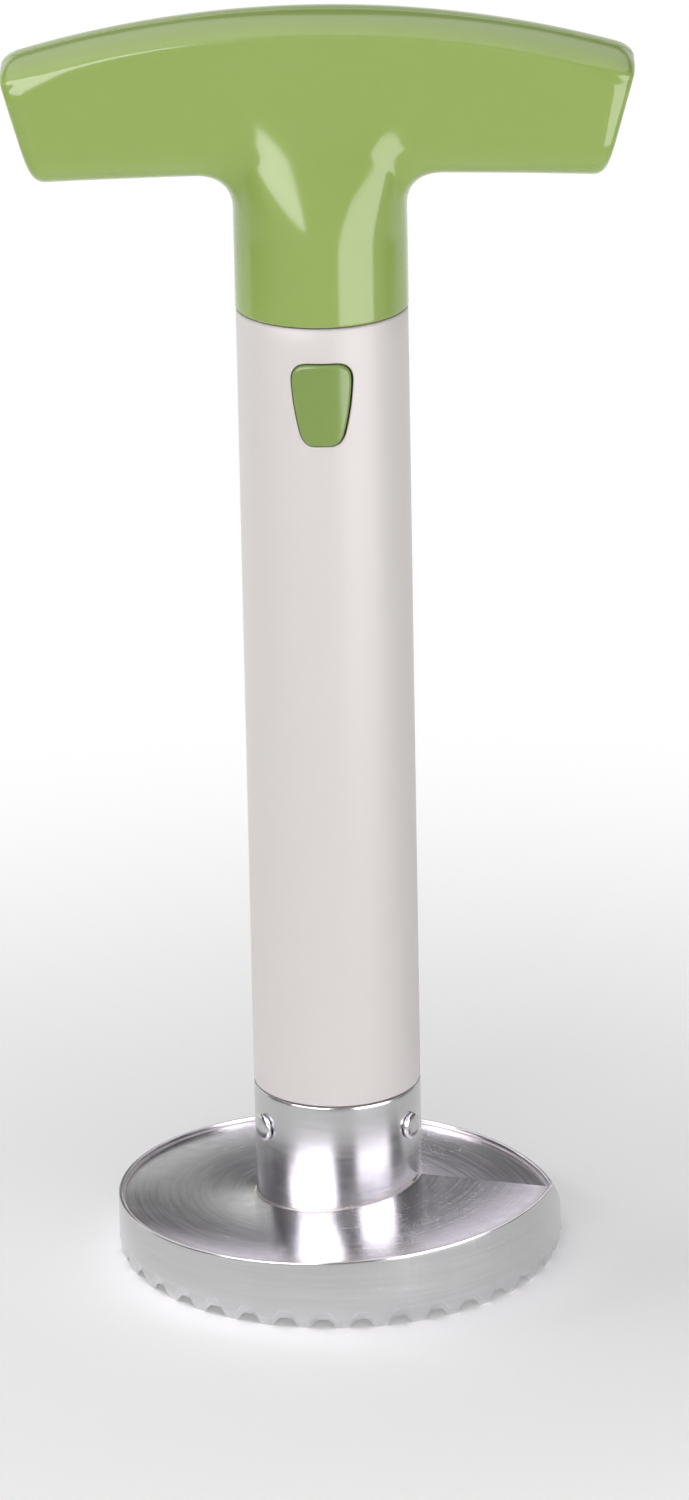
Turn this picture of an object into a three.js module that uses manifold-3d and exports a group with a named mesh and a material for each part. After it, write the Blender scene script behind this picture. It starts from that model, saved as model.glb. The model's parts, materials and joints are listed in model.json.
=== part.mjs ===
// A hand slicer for pineapples. A T-shaped grip carries a spigot that plugs into a hollow shaft.
// A sprung button on the spigot stands in a window of the shaft and locks the two together.
// The shaft ends in a toothed core cutter with a one-turn spiral blade and a toothed rim around it.
// Millimetres, +Z up the shaft, grip along X, button towards -Y, rim teeth standing on z = 0.
import * as THREE from "three";
import { mergeVertices } from "three/addons/utils/BufferGeometryUtils.js";
import Module from "manifold-3d";

const wasm = await Module();
wasm.setup();

// Fits and fineness
const gap = 0.3; // between pieces that touch
const overrun = 3; // how far a cutting body reaches past what it cuts
const roundSides = 40;
const smallSides = 16;

// Shaft
const shaftR = 16;
const shaftWall = 2.2;
const shaftFootZ = 6;
const shaftLength = 183;
const boreR = shaftR - shaftWall;
const seamZ = shaftFootZ + shaftLength; // the shaft's top edge, where the grip starts

// Core cutter: a steel sleeve over the shaft's thinned foot
const sleeveWall = 0.8;
const sleeveFootZ = 0.5;
const sleeveLength = 33.5;
const mouthHeight = 4;
const mouthDrawIn = 1.5;
const sleeveTeeth = 16;
const sleeveToothDepth = 2.4;
const sleeveTopZ = sleeveFootZ + sleeveLength;
const sleeveBoreR = shaftR - sleeveWall;

// Rivets that hold the sleeve
const rivetCount = 3;
const rivetR = 1.5;
const rivetHeadR = 2.6;
const rivetHeadHeight = 0.9;
const rivetZ = 27;
const firstRivetAngle = 90;

// Spiral blade and its rim
const bladePitch = 10; // one slice
const bladeThickness = 1;
const bladeLowZ = 4.5;
const bladeSweep = 345;
const bladeSteps = 69;
const edgeThickness = 0.2;
const edgeSweep = 10; // angle over which the leading end is ground thin
const rimR = 42.7;
const rimWall = 0.8;
const rimLip = 0.8;
const rimTeeth = 36;
const rimToothDepth = 1.8;
const rimToothShares = [0, 0, 1, 1]; // height of the lower edge across one tooth

// Stem: the grip's inner tube, spigot and cross plate
const stemWall = 2;
const spigotDepth = 46;
const stemRise = 16; // round part above the seam
const stemLid = 3;
const webHalfWidth = 12;
const plateHalfWidth = 27;
const plateHeight = 16;
const plateThickness = 5.2;
const stemR = boreR - gap;
const stemBoreR = stemR - stemWall;
const stemFootZ = seamZ - spigotDepth;

// Keys that carry the turning force from the spigot to the shaft
const keyWidth = 3.4;
const keyHeight = 1;
const keyFootRise = 5; // above the spigot's foot
const keyFootZ = stemFootZ + keyFootRise;

// End cap of the spigot
const capThickness = 1.6;
const capSkirtHeight = 4;
const capSkirtWall = 1.5;

// Release button
const buttonDrop = 14.8; // its middle below the seam
const buttonHeight = 15.5;
const buttonHeadWidth = 11;
const buttonFootWidth = 8.2; // above the foot's rounded corners
const buttonFootFlat = 3; // straight part of the lower edge
const buttonHeadRound = 3.1;
const buttonFootRound = 2.6;
const buttonSideBow = 0.25; // how far each side stands out from its chord
const buttonProud = 0.5;
const windowGap = 0.35;
const flangeWidth = 14.6;
const flangeOverlap = 2.2; // above and below the button's face
const buttonBackY = -6.8;
const postR = 2;
const postLength = 2.4;
const buttonZ = seamZ - buttonDrop;

// Button spring and its seat
const springLength = 9.4;
const springCoilR = 3.1;
const springWire = 0.7;
const springCoils = 6;
const coilSteps = 8;
const wireSides = 5;
const seatThickness = 4.5;
const seatHeight = 18;
const seatRibWidth = 5;
const seatPinR = 1;
const seatPinRise = 6; // above the button's middle
const springStartY = buttonBackY + gap;
const seatFaceY = springStartY + springLength + gap;
const seatPinY = seatFaceY + seatThickness / 2;
const seatPinZ = buttonZ + seatPinRise;

// Grip bar
const gripDepth = 20;
const gripWall = 2.4;
const gripEdgeRound = 8;
const gripBrowDrop = 3; // from the parting line down to the front face
const gripEndRound = 2.2;
const gripHeadReach = 58.7; // half length along the crown
const gripEndLean = 6; // how far each end draws in towards the underside
const crownRise = 56.3; // above the seam, at the middle
const crownRadius = 200;
const undersideRise = 25.9;
const undersideRadius = 1400;
const gripBodySteps = 12;
const gripEndSteps = 4;
const cornerSteps = 5;
const gripFootReach = gripHeadReach - gripEndLean;
const crownZ = seamZ + crownRise;
const undersideZ = seamZ + undersideRise;

// Neck that blends the grip bar into a round sleeve
const neckR = 16.1;
const neckFillet = 6;
const neckBlendRise = 13.4; // above the seam, where the round neck starts to flatten
const neckBlendHeight = 40;
const neckThinning = 8.3; // off its half depth, over the whole blend
const neckSquaring = 3.1; // on top of a round outline's power of 2, over the whole blend
const neckTopRise = 44; // above the seam, inside the grip bar
const neckSteps = 9;
const neckBoreR = stemR + gap;

// Screws, their bosses and their caps
const innerScrewInset = 7; // from the cross plate's end
const outerScrewInset = 14.7; // from the grip's end along the crown
const screwR = 1.45;
const screwHeadR = 2.7;
const screwHeadHeight = 1.8;
const screwLength = 12.6; // under the head
const screwPoint = 1.6;
const crossWidth = 0.7;
const crossLength = 3.2;
const crossDepth = 0.9;
const bossR = 4.6;
const headPocketR = 3.5;
const headPocketDepth = 4.2;
const pilotClearance = 0.6; // past the screw's point
const innerScrewX = plateHalfWidth - innerScrewInset;
const outerScrewX = gripHeadReach - outerScrewInset;
const screwHoleR = screwR + gap;
const gripFaceY = gripDepth / 2;
const headSeatY = gripFaceY - headPocketDepth;

const green = new THREE.MeshStandardMaterial({ color: 0x9ab068, roughness: 0.25 });
const white = new THREE.MeshStandardMaterial({ color: 0xe6e2e0, roughness: 0.45 });
const steel = new THREE.MeshStandardMaterial({ color: 0xb9bcbe, roughness: 0.3, metalness: 1 });
const greyPlastic = new THREE.MeshStandardMaterial({ color: 0xcfd0cc, roughness: 0.5 });

const radians = THREE.MathUtils.degToRad;
const quarterTurn = Math.PI / 2;
const fullTurn = Math.PI * 2;

// Closed three.js geometry as a solid that can be cut and joined
function solidOf(geometry) {
  geometry.deleteAttribute("normal");
  geometry.deleteAttribute("uv");
  const merged = mergeVertices(geometry);
  return new wasm.Manifold(
    new wasm.Mesh({
      numProp: 3,
      vertProperties: merged.attributes.position.array,
      triVerts: new Uint32Array(merged.index.array),
    }),
  );
}

// A solid as a named mesh
function meshOf(name, solid, material) {
  const made = solid.getMesh();
  const geometry = new THREE.BufferGeometry();
  geometry.setAttribute("position", new THREE.BufferAttribute(made.vertProperties, made.numProp));
  geometry.setIndex(new THREE.BufferAttribute(made.triVerts, 1));
  geometry.computeVertexNormals();
  const mesh = new THREE.Mesh(geometry, material);
  mesh.name = name;
  return mesh;
}

// Box between two opposite corners
function blockBetween(low, high) {
  const size = high.map((value, i) => value - low[i]);
  const middle = high.map((value, i) => (value + low[i]) / 2);
  return solidOf(new THREE.BoxGeometry(...size).translate(...middle));
}

// Round rod along Y between two depths
function rodAlongY(radius, fromY, toY, x, z, sides = smallSides) {
  const rod = new THREE.CylinderGeometry(radius, radius, toY - fromY, sides);
  return solidOf(rod.translate(x, (fromY + toY) / 2, z));
}

// Round rod along Z between two heights
function rodAlongZ(radius, fromZ, toZ) {
  const rod = new THREE.CylinderGeometry(radius, radius, toZ - fromZ, roundSides);
  return solidOf(rod.rotateX(quarterTurn).translate(0, 0, (fromZ + toZ) / 2));
}

// Body of revolution about Z from [radius, height] points, listed up the outside and down the inside
function turned(profile, sides = roundSides) {
  const points = profile.map(([radius, height]) => new THREE.Vector2(radius, height));
  return solidOf(new THREE.LatheGeometry(points, sides).rotateX(quarterTurn));
}

// Skin over a row of rings of points, capped at both ends or closed on itself
function lofted(rings, isLoop = false) {
  const count = rings[0].length;
  const points = rings.flat();
  const index = [];
  const spans = isLoop ? rings.length : rings.length - 1;
  for (let i = 0; i < spans; i++) {
    for (let j = 0; j < count; j++) {
      const a = i * count + j;
      const b = i * count + ((j + 1) % count);
      const c = ((i + 1) % rings.length) * count + j;
      const d = ((i + 1) % rings.length) * count + ((j + 1) % count);
      index.push(a, b, d, a, d, c);
    }
  }
  if (!isLoop) {
    capEnd(points, index, rings.length - 1, count, false);
    capEnd(points, index, 0, count, true);
  }
  const geometry = new THREE.BufferGeometry().setFromPoints(points);
  geometry.setIndex(index);
  return solidOf(geometry);
}

// Fan of triangles over one end ring
function capEnd(points, index, ring, count, isStart) {
  const first = ring * count;
  const middle = new THREE.Vector3();
  for (let j = 0; j < count; j++) middle.addScaledVector(points[first + j], 1 / count);
  const centre = points.push(middle) - 1;
  for (let j = 0; j < count; j++) {
    const here = first + j;
    const next = first + ((j + 1) % count);
    if (isStart) index.push(centre, next, here);
    else index.push(centre, here, next);
  }
}

// Section of the grip bar as [across, along] points: a low brow at the front, three round corners
function barLoop(halfAcross, halfAlong, radius) {
  const loop = [];
  const corners = [
    [1, 1, radius, radius],
    [-1, 1, halfAcross, gripBrowDrop],
    [-1, -1, radius, radius],
    [1, -1, radius, radius],
  ];
  corners.forEach(([sideAcross, sideAlong, reachAcross, reachAlong], quarter) => {
    for (let i = 0; i <= cornerSteps; i++) {
      const angle = (quarter + i / cornerSteps) * quarterTurn;
      loop.push([
        sideAcross * (halfAcross - reachAcross) + reachAcross * Math.cos(angle),
        sideAlong * (halfAlong - reachAlong) + reachAlong * Math.sin(angle),
      ]);
    }
  });
  return loop;
}

// Drop of a circular arc below its highest point
function archDrop(radius, x) {
  return radius - Math.sqrt(radius ** 2 - x ** 2);
}

function crownAt(x) {
  return crownZ - archDrop(crownRadius, x);
}

function undersideAt(x) {
  return undersideZ - archDrop(undersideRadius, x);
}

function gripMiddleAt(x) {
  return (crownAt(x) + undersideAt(x)) / 2;
}

// One section of the grip bar, leaning from the underside to the crown
function gripRing(crownX, footX, inset) {
  const top = new THREE.Vector3(crownX, 0, crownAt(crownX));
  const foot = new THREE.Vector3(footX, 0, undersideAt(footX));
  const middle = top.clone().add(foot).multiplyScalar(0.5);
  const lean = top.clone().sub(foot);
  const halfLength = lean.length() / 2 - inset;
  lean.normalize();
  const loop = barLoop(gripDepth / 2 - inset, halfLength, gripEdgeRound - inset);
  return loop.map(([y, along]) =>
    middle.clone().addScaledVector(lean, along).add(new THREE.Vector3(0, y, 0)),
  );
}

// The grip bar, shrunk by an inset, with its ends rounded over
function gripBar(inset, endRound) {
  const rings = [];
  const place = (share, back, shrink) => {
    const side = Math.sign(share);
    const crownX = share * (gripHeadReach - inset) - side * back;
    const footX = share * (gripFootReach - inset) - side * back;
    rings.push(gripRing(crownX, footX, inset + shrink));
  };
  const endRings = (share, fromAngle, toAngle) => {
    for (let i = 0; i < gripEndSteps; i++) {
      const angle = THREE.MathUtils.lerp(fromAngle, toAngle, i / gripEndSteps);
      place(share, endRound * (1 - Math.sin(angle)), endRound * (1 - Math.cos(angle)));
    }
  };
  if (endRound > 0) endRings(-1, quarterTurn, 0);
  for (let i = 0; i <= gripBodySteps; i++) {
    const share = (2 * i) / gripBodySteps - 1;
    place(share, endRound * Math.abs(share), 0);
  }
  if (endRound > 0) {
    const before = rings.length;
    endRings(1, quarterTurn, 0);
    rings.push(...rings.splice(before).reverse());
  }
  return lofted(rings);
}

// One level of the neck: round at the seam, wide and flat where it runs into the grip bar
function neckRing(z, inset) {
  const filletStart = undersideZ - neckFillet;
  const climb = THREE.MathUtils.clamp(z - filletStart, 0, neckFillet);
  const flare = neckFillet - Math.sqrt(neckFillet ** 2 - climb ** 2);
  const blendStart = seamZ + neckBlendRise;
  const fade = THREE.MathUtils.smoothstep(z, blendStart, blendStart + neckBlendHeight);
  const settled = THREE.MathUtils.smoothstep(z, undersideZ, seamZ + neckTopRise);
  const halfWidth = neckR + flare * (1 - settled) - inset;
  const halfDepth = neckR - neckThinning * fade - inset;
  const power = 2 + neckSquaring * fade;
  const squared = (value) => Math.sign(value) * Math.abs(value) ** (2 / power);
  const ring = [];
  for (let i = 0; i < roundSides; i++) {
    const angle = (i / roundSides) * fullTurn;
    ring.push(new THREE.Vector3(halfWidth * squared(Math.cos(angle)), halfDepth * squared(Math.sin(angle)), z));
  }
  return ring;
}

// The neck from a starting height up to its end inside the grip bar
function neckBody(fromZ, inset) {
  const blendStart = seamZ + neckBlendRise;
  const rings = [neckRing(fromZ, inset)];
  for (let i = 0; i <= neckSteps; i++) {
    rings.push(neckRing(blendStart + ((neckTopRise - neckBlendRise) * i) / neckSteps, inset));
  }
  return lofted(rings);
}

const screwXs = [-outerScrewX, -innerScrewX, innerScrewX, outerScrewX];

// Both grip shells before they are parted, with their bosses
function gripBody() {
  const outside = gripBar(0, gripEndRound).add(neckBody(seamZ + gap, 0));
  const hollow = gripBar(gripWall, 0).add(neckBody(seamZ - overrun, neckR - neckBoreR));
  let body = outside.subtract(hollow);
  const bossReach = gripFaceY - gripWall / 2;
  for (const x of screwXs) {
    body = body.add(rodAlongY(bossR, -bossReach, bossReach, x, gripMiddleAt(x), 2 * smallSides));
  }
  return body;
}

function gripHalf(body, side) {
  const reach = gripHeadReach + overrun;
  const inner = (side * gap) / 2;
  const outer = side * (neckR + overrun);
  const low = [-reach, Math.min(inner, outer), seamZ - overrun];
  const high = [reach, Math.max(inner, outer), crownZ + overrun];
  return body.intersect(blockBetween(low, high));
}

function gripFrontShell(body) {
  let shell = gripHalf(body, -1);
  const pilotEndY = headSeatY + gap - screwLength - pilotClearance;
  for (const x of screwXs) {
    shell = shell.subtract(rodAlongY(screwHoleR, pilotEndY, overrun, x, gripMiddleAt(x)));
  }
  return shell;
}

function gripRearShell(body) {
  let shell = gripHalf(body, 1);
  for (const x of screwXs) {
    const z = gripMiddleAt(x);
    shell = shell.subtract(rodAlongY(screwHoleR, -overrun, gripFaceY, x, z));
    const pocket = rodAlongY(headPocketR, headSeatY, gripFaceY + overrun, x, z, 2 * smallSides);
    shell = shell.subtract(pocket);
  }
  return shell;
}

// Screw along Y with a pan head and a cross recess
function gripScrew(x) {
  const underHead = headSeatY + gap;
  const tip = underHead - screwLength;
  const profile = [
    [0, tip],
    [screwR, tip + screwPoint],
    [screwR, underHead],
    [screwHeadR, underHead],
    [screwHeadR, underHead + screwHeadHeight / 2],
    [screwHeadR - screwHeadHeight / 2, underHead + screwHeadHeight],
    [0, underHead + screwHeadHeight],
  ];
  const points = profile.map(([radius, y]) => new THREE.Vector2(radius, y));
  const z = gripMiddleAt(x);
  const body = solidOf(new THREE.LatheGeometry(points, smallSides).translate(x, 0, z));
  const recessY = underHead + screwHeadHeight - crossDepth;
  const armX = [crossLength / 2, crossWidth / 2];
  const slots = armX.map((halfX, i) => {
    const halfZ = armX[1 - i];
    return blockBetween([x - halfX, recessY, z - halfZ], [x + halfX, recessY + overrun, z + halfZ]);
  });
  return body.subtract(slots[0].add(slots[1]));
}

// Plug that hides a screw head, flush with the rear face
function screwCap(x) {
  const lowY = headSeatY + gap + screwHeadHeight + gap;
  return rodAlongY(headPocketR - gap, lowY, gripFaceY, x, gripMiddleAt(x), 2 * smallSides);
}

// Outline of the button's face, grown by a margin, as a prism reaching in from the front
function buttonPrism(grow, backY) {
  const half = buttonHeight / 2 + grow;
  const headRound = buttonHeadRound + grow;
  const footRound = buttonFootRound + grow;
  const head = new THREE.Vector2(buttonHeadWidth / 2 + grow, half - headRound);
  const foot = new THREE.Vector2(buttonFootWidth / 2 + grow, footRound - half);
  const bow = head.clone().add(foot).multiplyScalar(0.5);
  bow.x += 2 * buttonSideBow;
  const cornerX = foot.x - (footRound * (bow.x - foot.x)) / (bow.y - foot.y);
  const footFlat = buttonFootFlat / 2;
  const headFlat = head.x - headRound;
  const shape = new THREE.Shape();
  shape.moveTo(-footFlat, -half);
  shape.lineTo(footFlat, -half);
  shape.quadraticCurveTo(cornerX, -half, foot.x, foot.y);
  shape.quadraticCurveTo(bow.x, bow.y, head.x, head.y);
  shape.quadraticCurveTo(head.x, half, headFlat, half);
  shape.lineTo(-headFlat, half);
  shape.quadraticCurveTo(-head.x, half, -head.x, head.y);
  shape.quadraticCurveTo(-bow.x, bow.y, -foot.x, foot.y);
  shape.quadraticCurveTo(-cornerX, -half, -footFlat, -half);
  const frontY = -(shaftR + overrun);
  const options = { depth: backY - frontY, bevelEnabled: false, curveSegments: 4 };
  const prism = new THREE.ExtrudeGeometry(shape, options);
  return solidOf(prism.rotateX(quarterTurn).translate(0, backY, buttonZ));
}

function releaseButton() {
  const faceR = shaftR + buttonProud;
  const half = buttonHeight / 2 + flangeOverlap;
  const pad = buttonPrism(0, buttonBackY).intersect(
    rodAlongZ(faceR, buttonZ - half - overrun, buttonZ + half + overrun),
  );
  const flange = blockBetween(
    [-flangeWidth / 2, -stemR, buttonZ - half],
    [flangeWidth / 2, buttonBackY, buttonZ + half],
  ).intersect(rodAlongZ(stemBoreR - gap, buttonZ - half - overrun, buttonZ + half + overrun));
  const post = rodAlongY(postR, buttonBackY - postLength, buttonBackY + postLength, 0, buttonZ);
  return pad.add(flange).add(post);
}

// Stem: round spigot, lid, web and cross plate as one moulding
function handleStem() {
  const topZ = seamZ + stemRise;
  let stem = rodAlongZ(stemR, stemFootZ, topZ);
  stem = stem.subtract(rodAlongZ(stemBoreR, stemFootZ - overrun, topZ - stemLid));
  const halfThick = plateThickness / 2;
  const plateMiddle = gripMiddleAt(innerScrewX);
  const plateLow = plateMiddle - plateHeight / 2;
  const web = blockBetween(
    [-webHalfWidth, -halfThick, topZ - stemLid / 2],
    [webHalfWidth, halfThick, plateMiddle],
  );
  const plate = blockBetween(
    [-plateHalfWidth, -halfThick, plateLow],
    [plateHalfWidth, halfThick, plateLow + plateHeight],
  );
  stem = stem.add(web).add(plate).add(stemKey(1)).add(stemKey(-1));
  for (const x of [-innerScrewX, innerScrewX]) {
    const hole = rodAlongY(bossR + gap, -gripFaceY, gripFaceY, x, gripMiddleAt(x), 2 * smallSides);
    stem = stem.subtract(hole);
  }
  stem = stem.subtract(buttonPrism(gap, -stemBoreR / 2));
  return stem.subtract(rodAlongX(seatPinR + gap, stemR + overrun, seatPinY, seatPinZ));
}

// Round rod along X, centred on the shaft's middle plane
function rodAlongX(radius, halfLength, y, z) {
  const rod = new THREE.CylinderGeometry(radius, radius, 2 * halfLength, smallSides);
  return solidOf(rod.rotateZ(quarterTurn).translate(0, y, z));
}

function stemKey(side) {
  const inner = side * (stemR - stemWall / 2);
  const outer = side * (boreR + keyHeight - gap);
  return blockBetween(
    [Math.min(inner, outer), -keyWidth / 2, keyFootZ],
    [Math.max(inner, outer), keyWidth / 2, seamZ - gap],
  );
}

function stemEndCap() {
  const topZ = stemFootZ - gap;
  const skirtR = stemBoreR - gap;
  return turned([
    [0, topZ - capThickness],
    [stemR, topZ - capThickness],
    [stemR, topZ],
    [skirtR, topZ],
    [skirtR, topZ + capSkirtHeight],
    [skirtR - capSkirtWall, topZ + capSkirtHeight],
    [skirtR - capSkirtWall, topZ],
    [0, topZ],
  ]);
}

// Middle line of the button spring, one point for each step
function springPath() {
  const steps = springCoils * coilSteps;
  const startY = springStartY + springWire / 2;
  const climb = springLength - springWire;
  return Array.from({ length: steps + 1 }, (_, i) => {
    const angle = (i / coilSteps) * fullTurn;
    return new THREE.Vector3(
      springCoilR * Math.cos(angle),
      startY + (climb * i) / steps,
      buttonZ + springCoilR * Math.sin(angle),
    );
  });
}

function buttonSpring(path) {
  const axis = new THREE.Vector3(0, 0, buttonZ);
  const rings = path.map((point, i) => {
    const ahead = path[Math.min(i + 1, path.length - 1)];
    const behind = path[Math.max(i - 1, 0)];
    const tangent = ahead.clone().sub(behind).normalize();
    const outward = point.clone().sub(axis).setY(0).normalize();
    outward.addScaledVector(tangent, -outward.dot(tangent)).normalize();
    const sideways = tangent.clone().cross(outward);
    return Array.from({ length: wireSides }, (_, j) => {
      const angle = (j / wireSides) * fullTurn;
      return point
        .clone()
        .addScaledVector(outward, (springWire / 2) * Math.cos(angle))
        .addScaledVector(sideways, (springWire / 2) * Math.sin(angle));
    });
  });
  return lofted(rings);
}

// Least free distance between two stretches of the wire that are half a coil or more apart
function leastSpringGap(path) {
  let least = Infinity;
  path.forEach((point, i) => {
    for (let j = i + coilSteps / 2; j < path.length; j++) {
      least = Math.min(least, point.distanceTo(path[j]) - springWire);
    }
  });
  return least;
}

// Block behind the spring, pinned across the spigot
function springSeat() {
  const lowZ = buttonZ - seatHeight / 2;
  const highZ = buttonZ + seatHeight / 2;
  const plate = blockBetween([-stemR, seatFaceY, lowZ], [stemR, seatFaceY + seatThickness, highZ]);
  const rib = blockBetween(
    [-seatRibWidth / 2, seatFaceY + seatThickness / 2, lowZ],
    [seatRibWidth / 2, stemR, highZ],
  );
  const inBore = plate.add(rib).intersect(rodAlongZ(stemBoreR - gap, lowZ - overrun, highZ + overrun));
  const post = rodAlongY(postR, seatFaceY - postLength, seatFaceY + postLength, 0, buttonZ);
  const hole = rodAlongX(seatPinR + gap, stemR + overrun, seatPinY, seatPinZ);
  return inBore.subtract(hole).add(post);
}

function seatPin() {
  const halfLength = Math.sqrt(stemR ** 2 - seatPinY ** 2) - gap;
  return rodAlongX(seatPinR, halfLength, seatPinY, seatPinZ);
}

// Shaft: thinned at the foot for the sleeve, with a window and two keyways at the top
function coreTube() {
  const stepZ = sleeveTopZ + gap;
  const footR = sleeveBoreR - gap;
  let tube = turned([
    [footR, shaftFootZ],
    [footR, stepZ],
    [shaftR, stepZ],
    [shaftR, seamZ],
    [boreR, seamZ],
    [boreR, shaftFootZ],
    [footR, shaftFootZ],
  ]);
  tube = tube.subtract(buttonPrism(windowGap, -boreR / 2));
  const wayHalf = keyWidth / 2 + gap;
  const wayX = boreR + keyHeight;
  const ways = blockBetween([-wayX, -wayHalf, keyFootZ - gap], [wayX, wayHalf, seamZ + overrun]);
  tube = tube.subtract(ways);
  return rivetAngles().reduce((solid, angle) => solid.subtract(rivetHole(angle)), tube);
}

function rivetAngles() {
  return Array.from({ length: rivetCount }, (_, i) => radians(firstRivetAngle + (360 * i) / rivetCount));
}

function rivetHole(angle) {
  const length = shaftR + overrun - boreR / 2;
  const rod = new THREE.CylinderGeometry(rivetR + gap, rivetR + gap, length, smallSides);
  rod.rotateZ(quarterTurn).translate(boreR / 2 + length / 2, 0, rivetZ);
  return solidOf(rod.rotateZ(angle));
}

// Rivet pointing out from the axis, with a low dome for a head
function sleeveRivet(angle) {
  const start = boreR + gap;
  const seat = shaftR + gap;
  const profile = [
    [0, start],
    [rivetR, start],
    [rivetR, seat],
    [rivetHeadR, seat],
    [rivetHeadR, seat + rivetHeadHeight / 3],
    [(rivetR + rivetHeadR) / 2, seat + (rivetHeadHeight * 4) / 5],
    [0, seat + rivetHeadHeight],
  ];
  const points = profile.map(([radius, along]) => new THREE.Vector2(radius, along));
  const rivet = new THREE.LatheGeometry(points, smallSides).rotateZ(-quarterTurn);
  return solidOf(rivet.translate(0, 0, rivetZ).rotateZ(angle));
}

// Steel sleeve, drawn in at the mouth to the shaft's bore and toothed along its lower edge
function cutterSleeve() {
  const mouthZ = sleeveFootZ + mouthHeight;
  let sleeve = turned([
    [shaftR - mouthDrawIn, sleeveFootZ],
    [shaftR, mouthZ],
    [shaftR, sleeveTopZ],
    [sleeveBoreR, sleeveTopZ],
    [sleeveBoreR, mouthZ],
    [sleeveBoreR - mouthDrawIn, sleeveFootZ],
    [shaftR - mouthDrawIn, sleeveFootZ],
  ]);
  const side = sleeveToothDepth * Math.SQRT2;
  for (let i = 0; i < sleeveTeeth; i++) {
    const notch = new THREE.BoxGeometry(2 * overrun, side, side).rotateX(quarterTurn / 2);
    notch.translate(sleeveBoreR, 0, sleeveFootZ).rotateZ((i / sleeveTeeth) * fullTurn);
    sleeve = sleeve.subtract(solidOf(notch));
  }
  return rivetAngles().reduce((solid, angle) => solid.subtract(rivetHole(angle)), sleeve);
}

// Four corners of an upright rectangle in the plane through the axis at an angle
function radialRing(angle, innerR, outerR, lowZ, highZ) {
  const corners = [
    [innerR, lowZ],
    [innerR, highZ],
    [outerR, highZ],
    [outerR, lowZ],
  ];
  return corners.map(([r, z]) => new THREE.Vector3(r * Math.cos(angle), r * Math.sin(angle), z));
}

// One rising turn of sheet steel, ground thin at its low leading end
function spiralBlade() {
  const rings = [];
  for (let i = 0; i <= bladeSteps; i++) {
    const turn = (bladeSweep * i) / bladeSteps;
    const lowZ = bladeLowZ + (bladePitch * turn) / 360;
    const ground = Math.min(turn / edgeSweep, 1);
    const highZ = lowZ + THREE.MathUtils.lerp(edgeThickness, bladeThickness, ground);
    rings.push(radialRing(radians(turn), shaftR + gap, rimR - rimWall - gap, lowZ, highZ));
  }
  return lofted(rings);
}

// Upper edge of the rim: it follows the blade and comes down over the open slot
function rimTopAt(turn) {
  const climb = Math.min(turn, bladeSweep);
  const drop = Math.max(turn - bladeSweep, 0) / (360 - bladeSweep);
  return bladeLowZ + bladeThickness + rimLip + ((bladePitch * climb) / 360) * (1 - drop);
}

function rimBlade() {
  const stepsPerTooth = rimToothShares.length;
  const columns = rimTeeth * stepsPerTooth;
  const rings = [];
  for (let i = 0; i < columns; i++) {
    const turn = (360 * i) / columns;
    const lowZ = rimToothDepth * rimToothShares[i % stepsPerTooth];
    rings.push(radialRing(radians(turn), rimR - rimWall, rimR, lowZ, rimTopAt(turn)));
  }
  return lofted(rings, true);
}

// Assembly
const shaft = new THREE.Group();
shaft.add(meshOf("core_tube", coreTube(), white));
shaft.add(meshOf("cutter_sleeve", cutterSleeve(), steel));
shaft.add(meshOf("spiral_blade", spiralBlade(), steel));
shaft.add(meshOf("rim_blade", rimBlade(), steel));
rivetAngles().forEach((angle, i) => {
  shaft.add(meshOf(`sleeve_rivet_${i + 1}`, sleeveRivet(angle), steel));
});

const handle = new THREE.Group();
const grip = gripBody();
handle.add(meshOf("grip_front_shell", gripFrontShell(grip), green));
handle.add(meshOf("grip_rear_shell", gripRearShell(grip), green));
handle.add(meshOf("handle_stem", handleStem(), greyPlastic));
handle.add(meshOf("stem_end_cap", stemEndCap(), greyPlastic));
handle.add(meshOf("spring_seat", springSeat(), greyPlastic));
handle.add(meshOf("seat_pin", seatPin(), steel));
screwXs.forEach((x, i) => {
  handle.add(meshOf(`grip_screw_${i + 1}`, gripScrew(x), steel));
  handle.add(meshOf(`screw_cap_${i + 1}`, screwCap(x), green));
});

const wire = springPath();
console.log(`button_spring: least gap to itself ${leastSpringGap(wire).toFixed(2)} mm`);
const button = new THREE.Group();
button.add(meshOf("release_button", releaseButton(), green));
button.add(meshOf("button_spring", buttonSpring(wire), steel));

const slicer = new THREE.Group();
slicer.add(shaft, handle, button);

export default slicer;
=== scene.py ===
import json
import math

import bmesh
import bpy
import numpy as np
from mathutils import Matrix, Vector


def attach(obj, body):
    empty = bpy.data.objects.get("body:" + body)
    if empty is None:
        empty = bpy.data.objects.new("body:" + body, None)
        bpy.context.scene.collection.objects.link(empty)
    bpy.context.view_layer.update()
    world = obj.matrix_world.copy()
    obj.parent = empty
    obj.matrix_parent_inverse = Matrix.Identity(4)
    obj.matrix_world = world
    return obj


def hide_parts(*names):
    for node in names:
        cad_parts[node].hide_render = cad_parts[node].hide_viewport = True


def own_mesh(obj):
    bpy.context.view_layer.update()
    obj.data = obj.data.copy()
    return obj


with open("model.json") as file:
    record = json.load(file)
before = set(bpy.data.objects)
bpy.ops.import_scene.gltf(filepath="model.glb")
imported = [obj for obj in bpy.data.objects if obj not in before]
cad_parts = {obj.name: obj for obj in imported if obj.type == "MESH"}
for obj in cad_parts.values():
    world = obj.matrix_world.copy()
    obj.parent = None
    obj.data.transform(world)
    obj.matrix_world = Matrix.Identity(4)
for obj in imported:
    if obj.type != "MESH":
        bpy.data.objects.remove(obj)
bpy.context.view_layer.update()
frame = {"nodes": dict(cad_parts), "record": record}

# Sizes are in millimetres, as in the part's source, and meshes are made in metres.
MM = 0.001
GAP = 0.3

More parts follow.
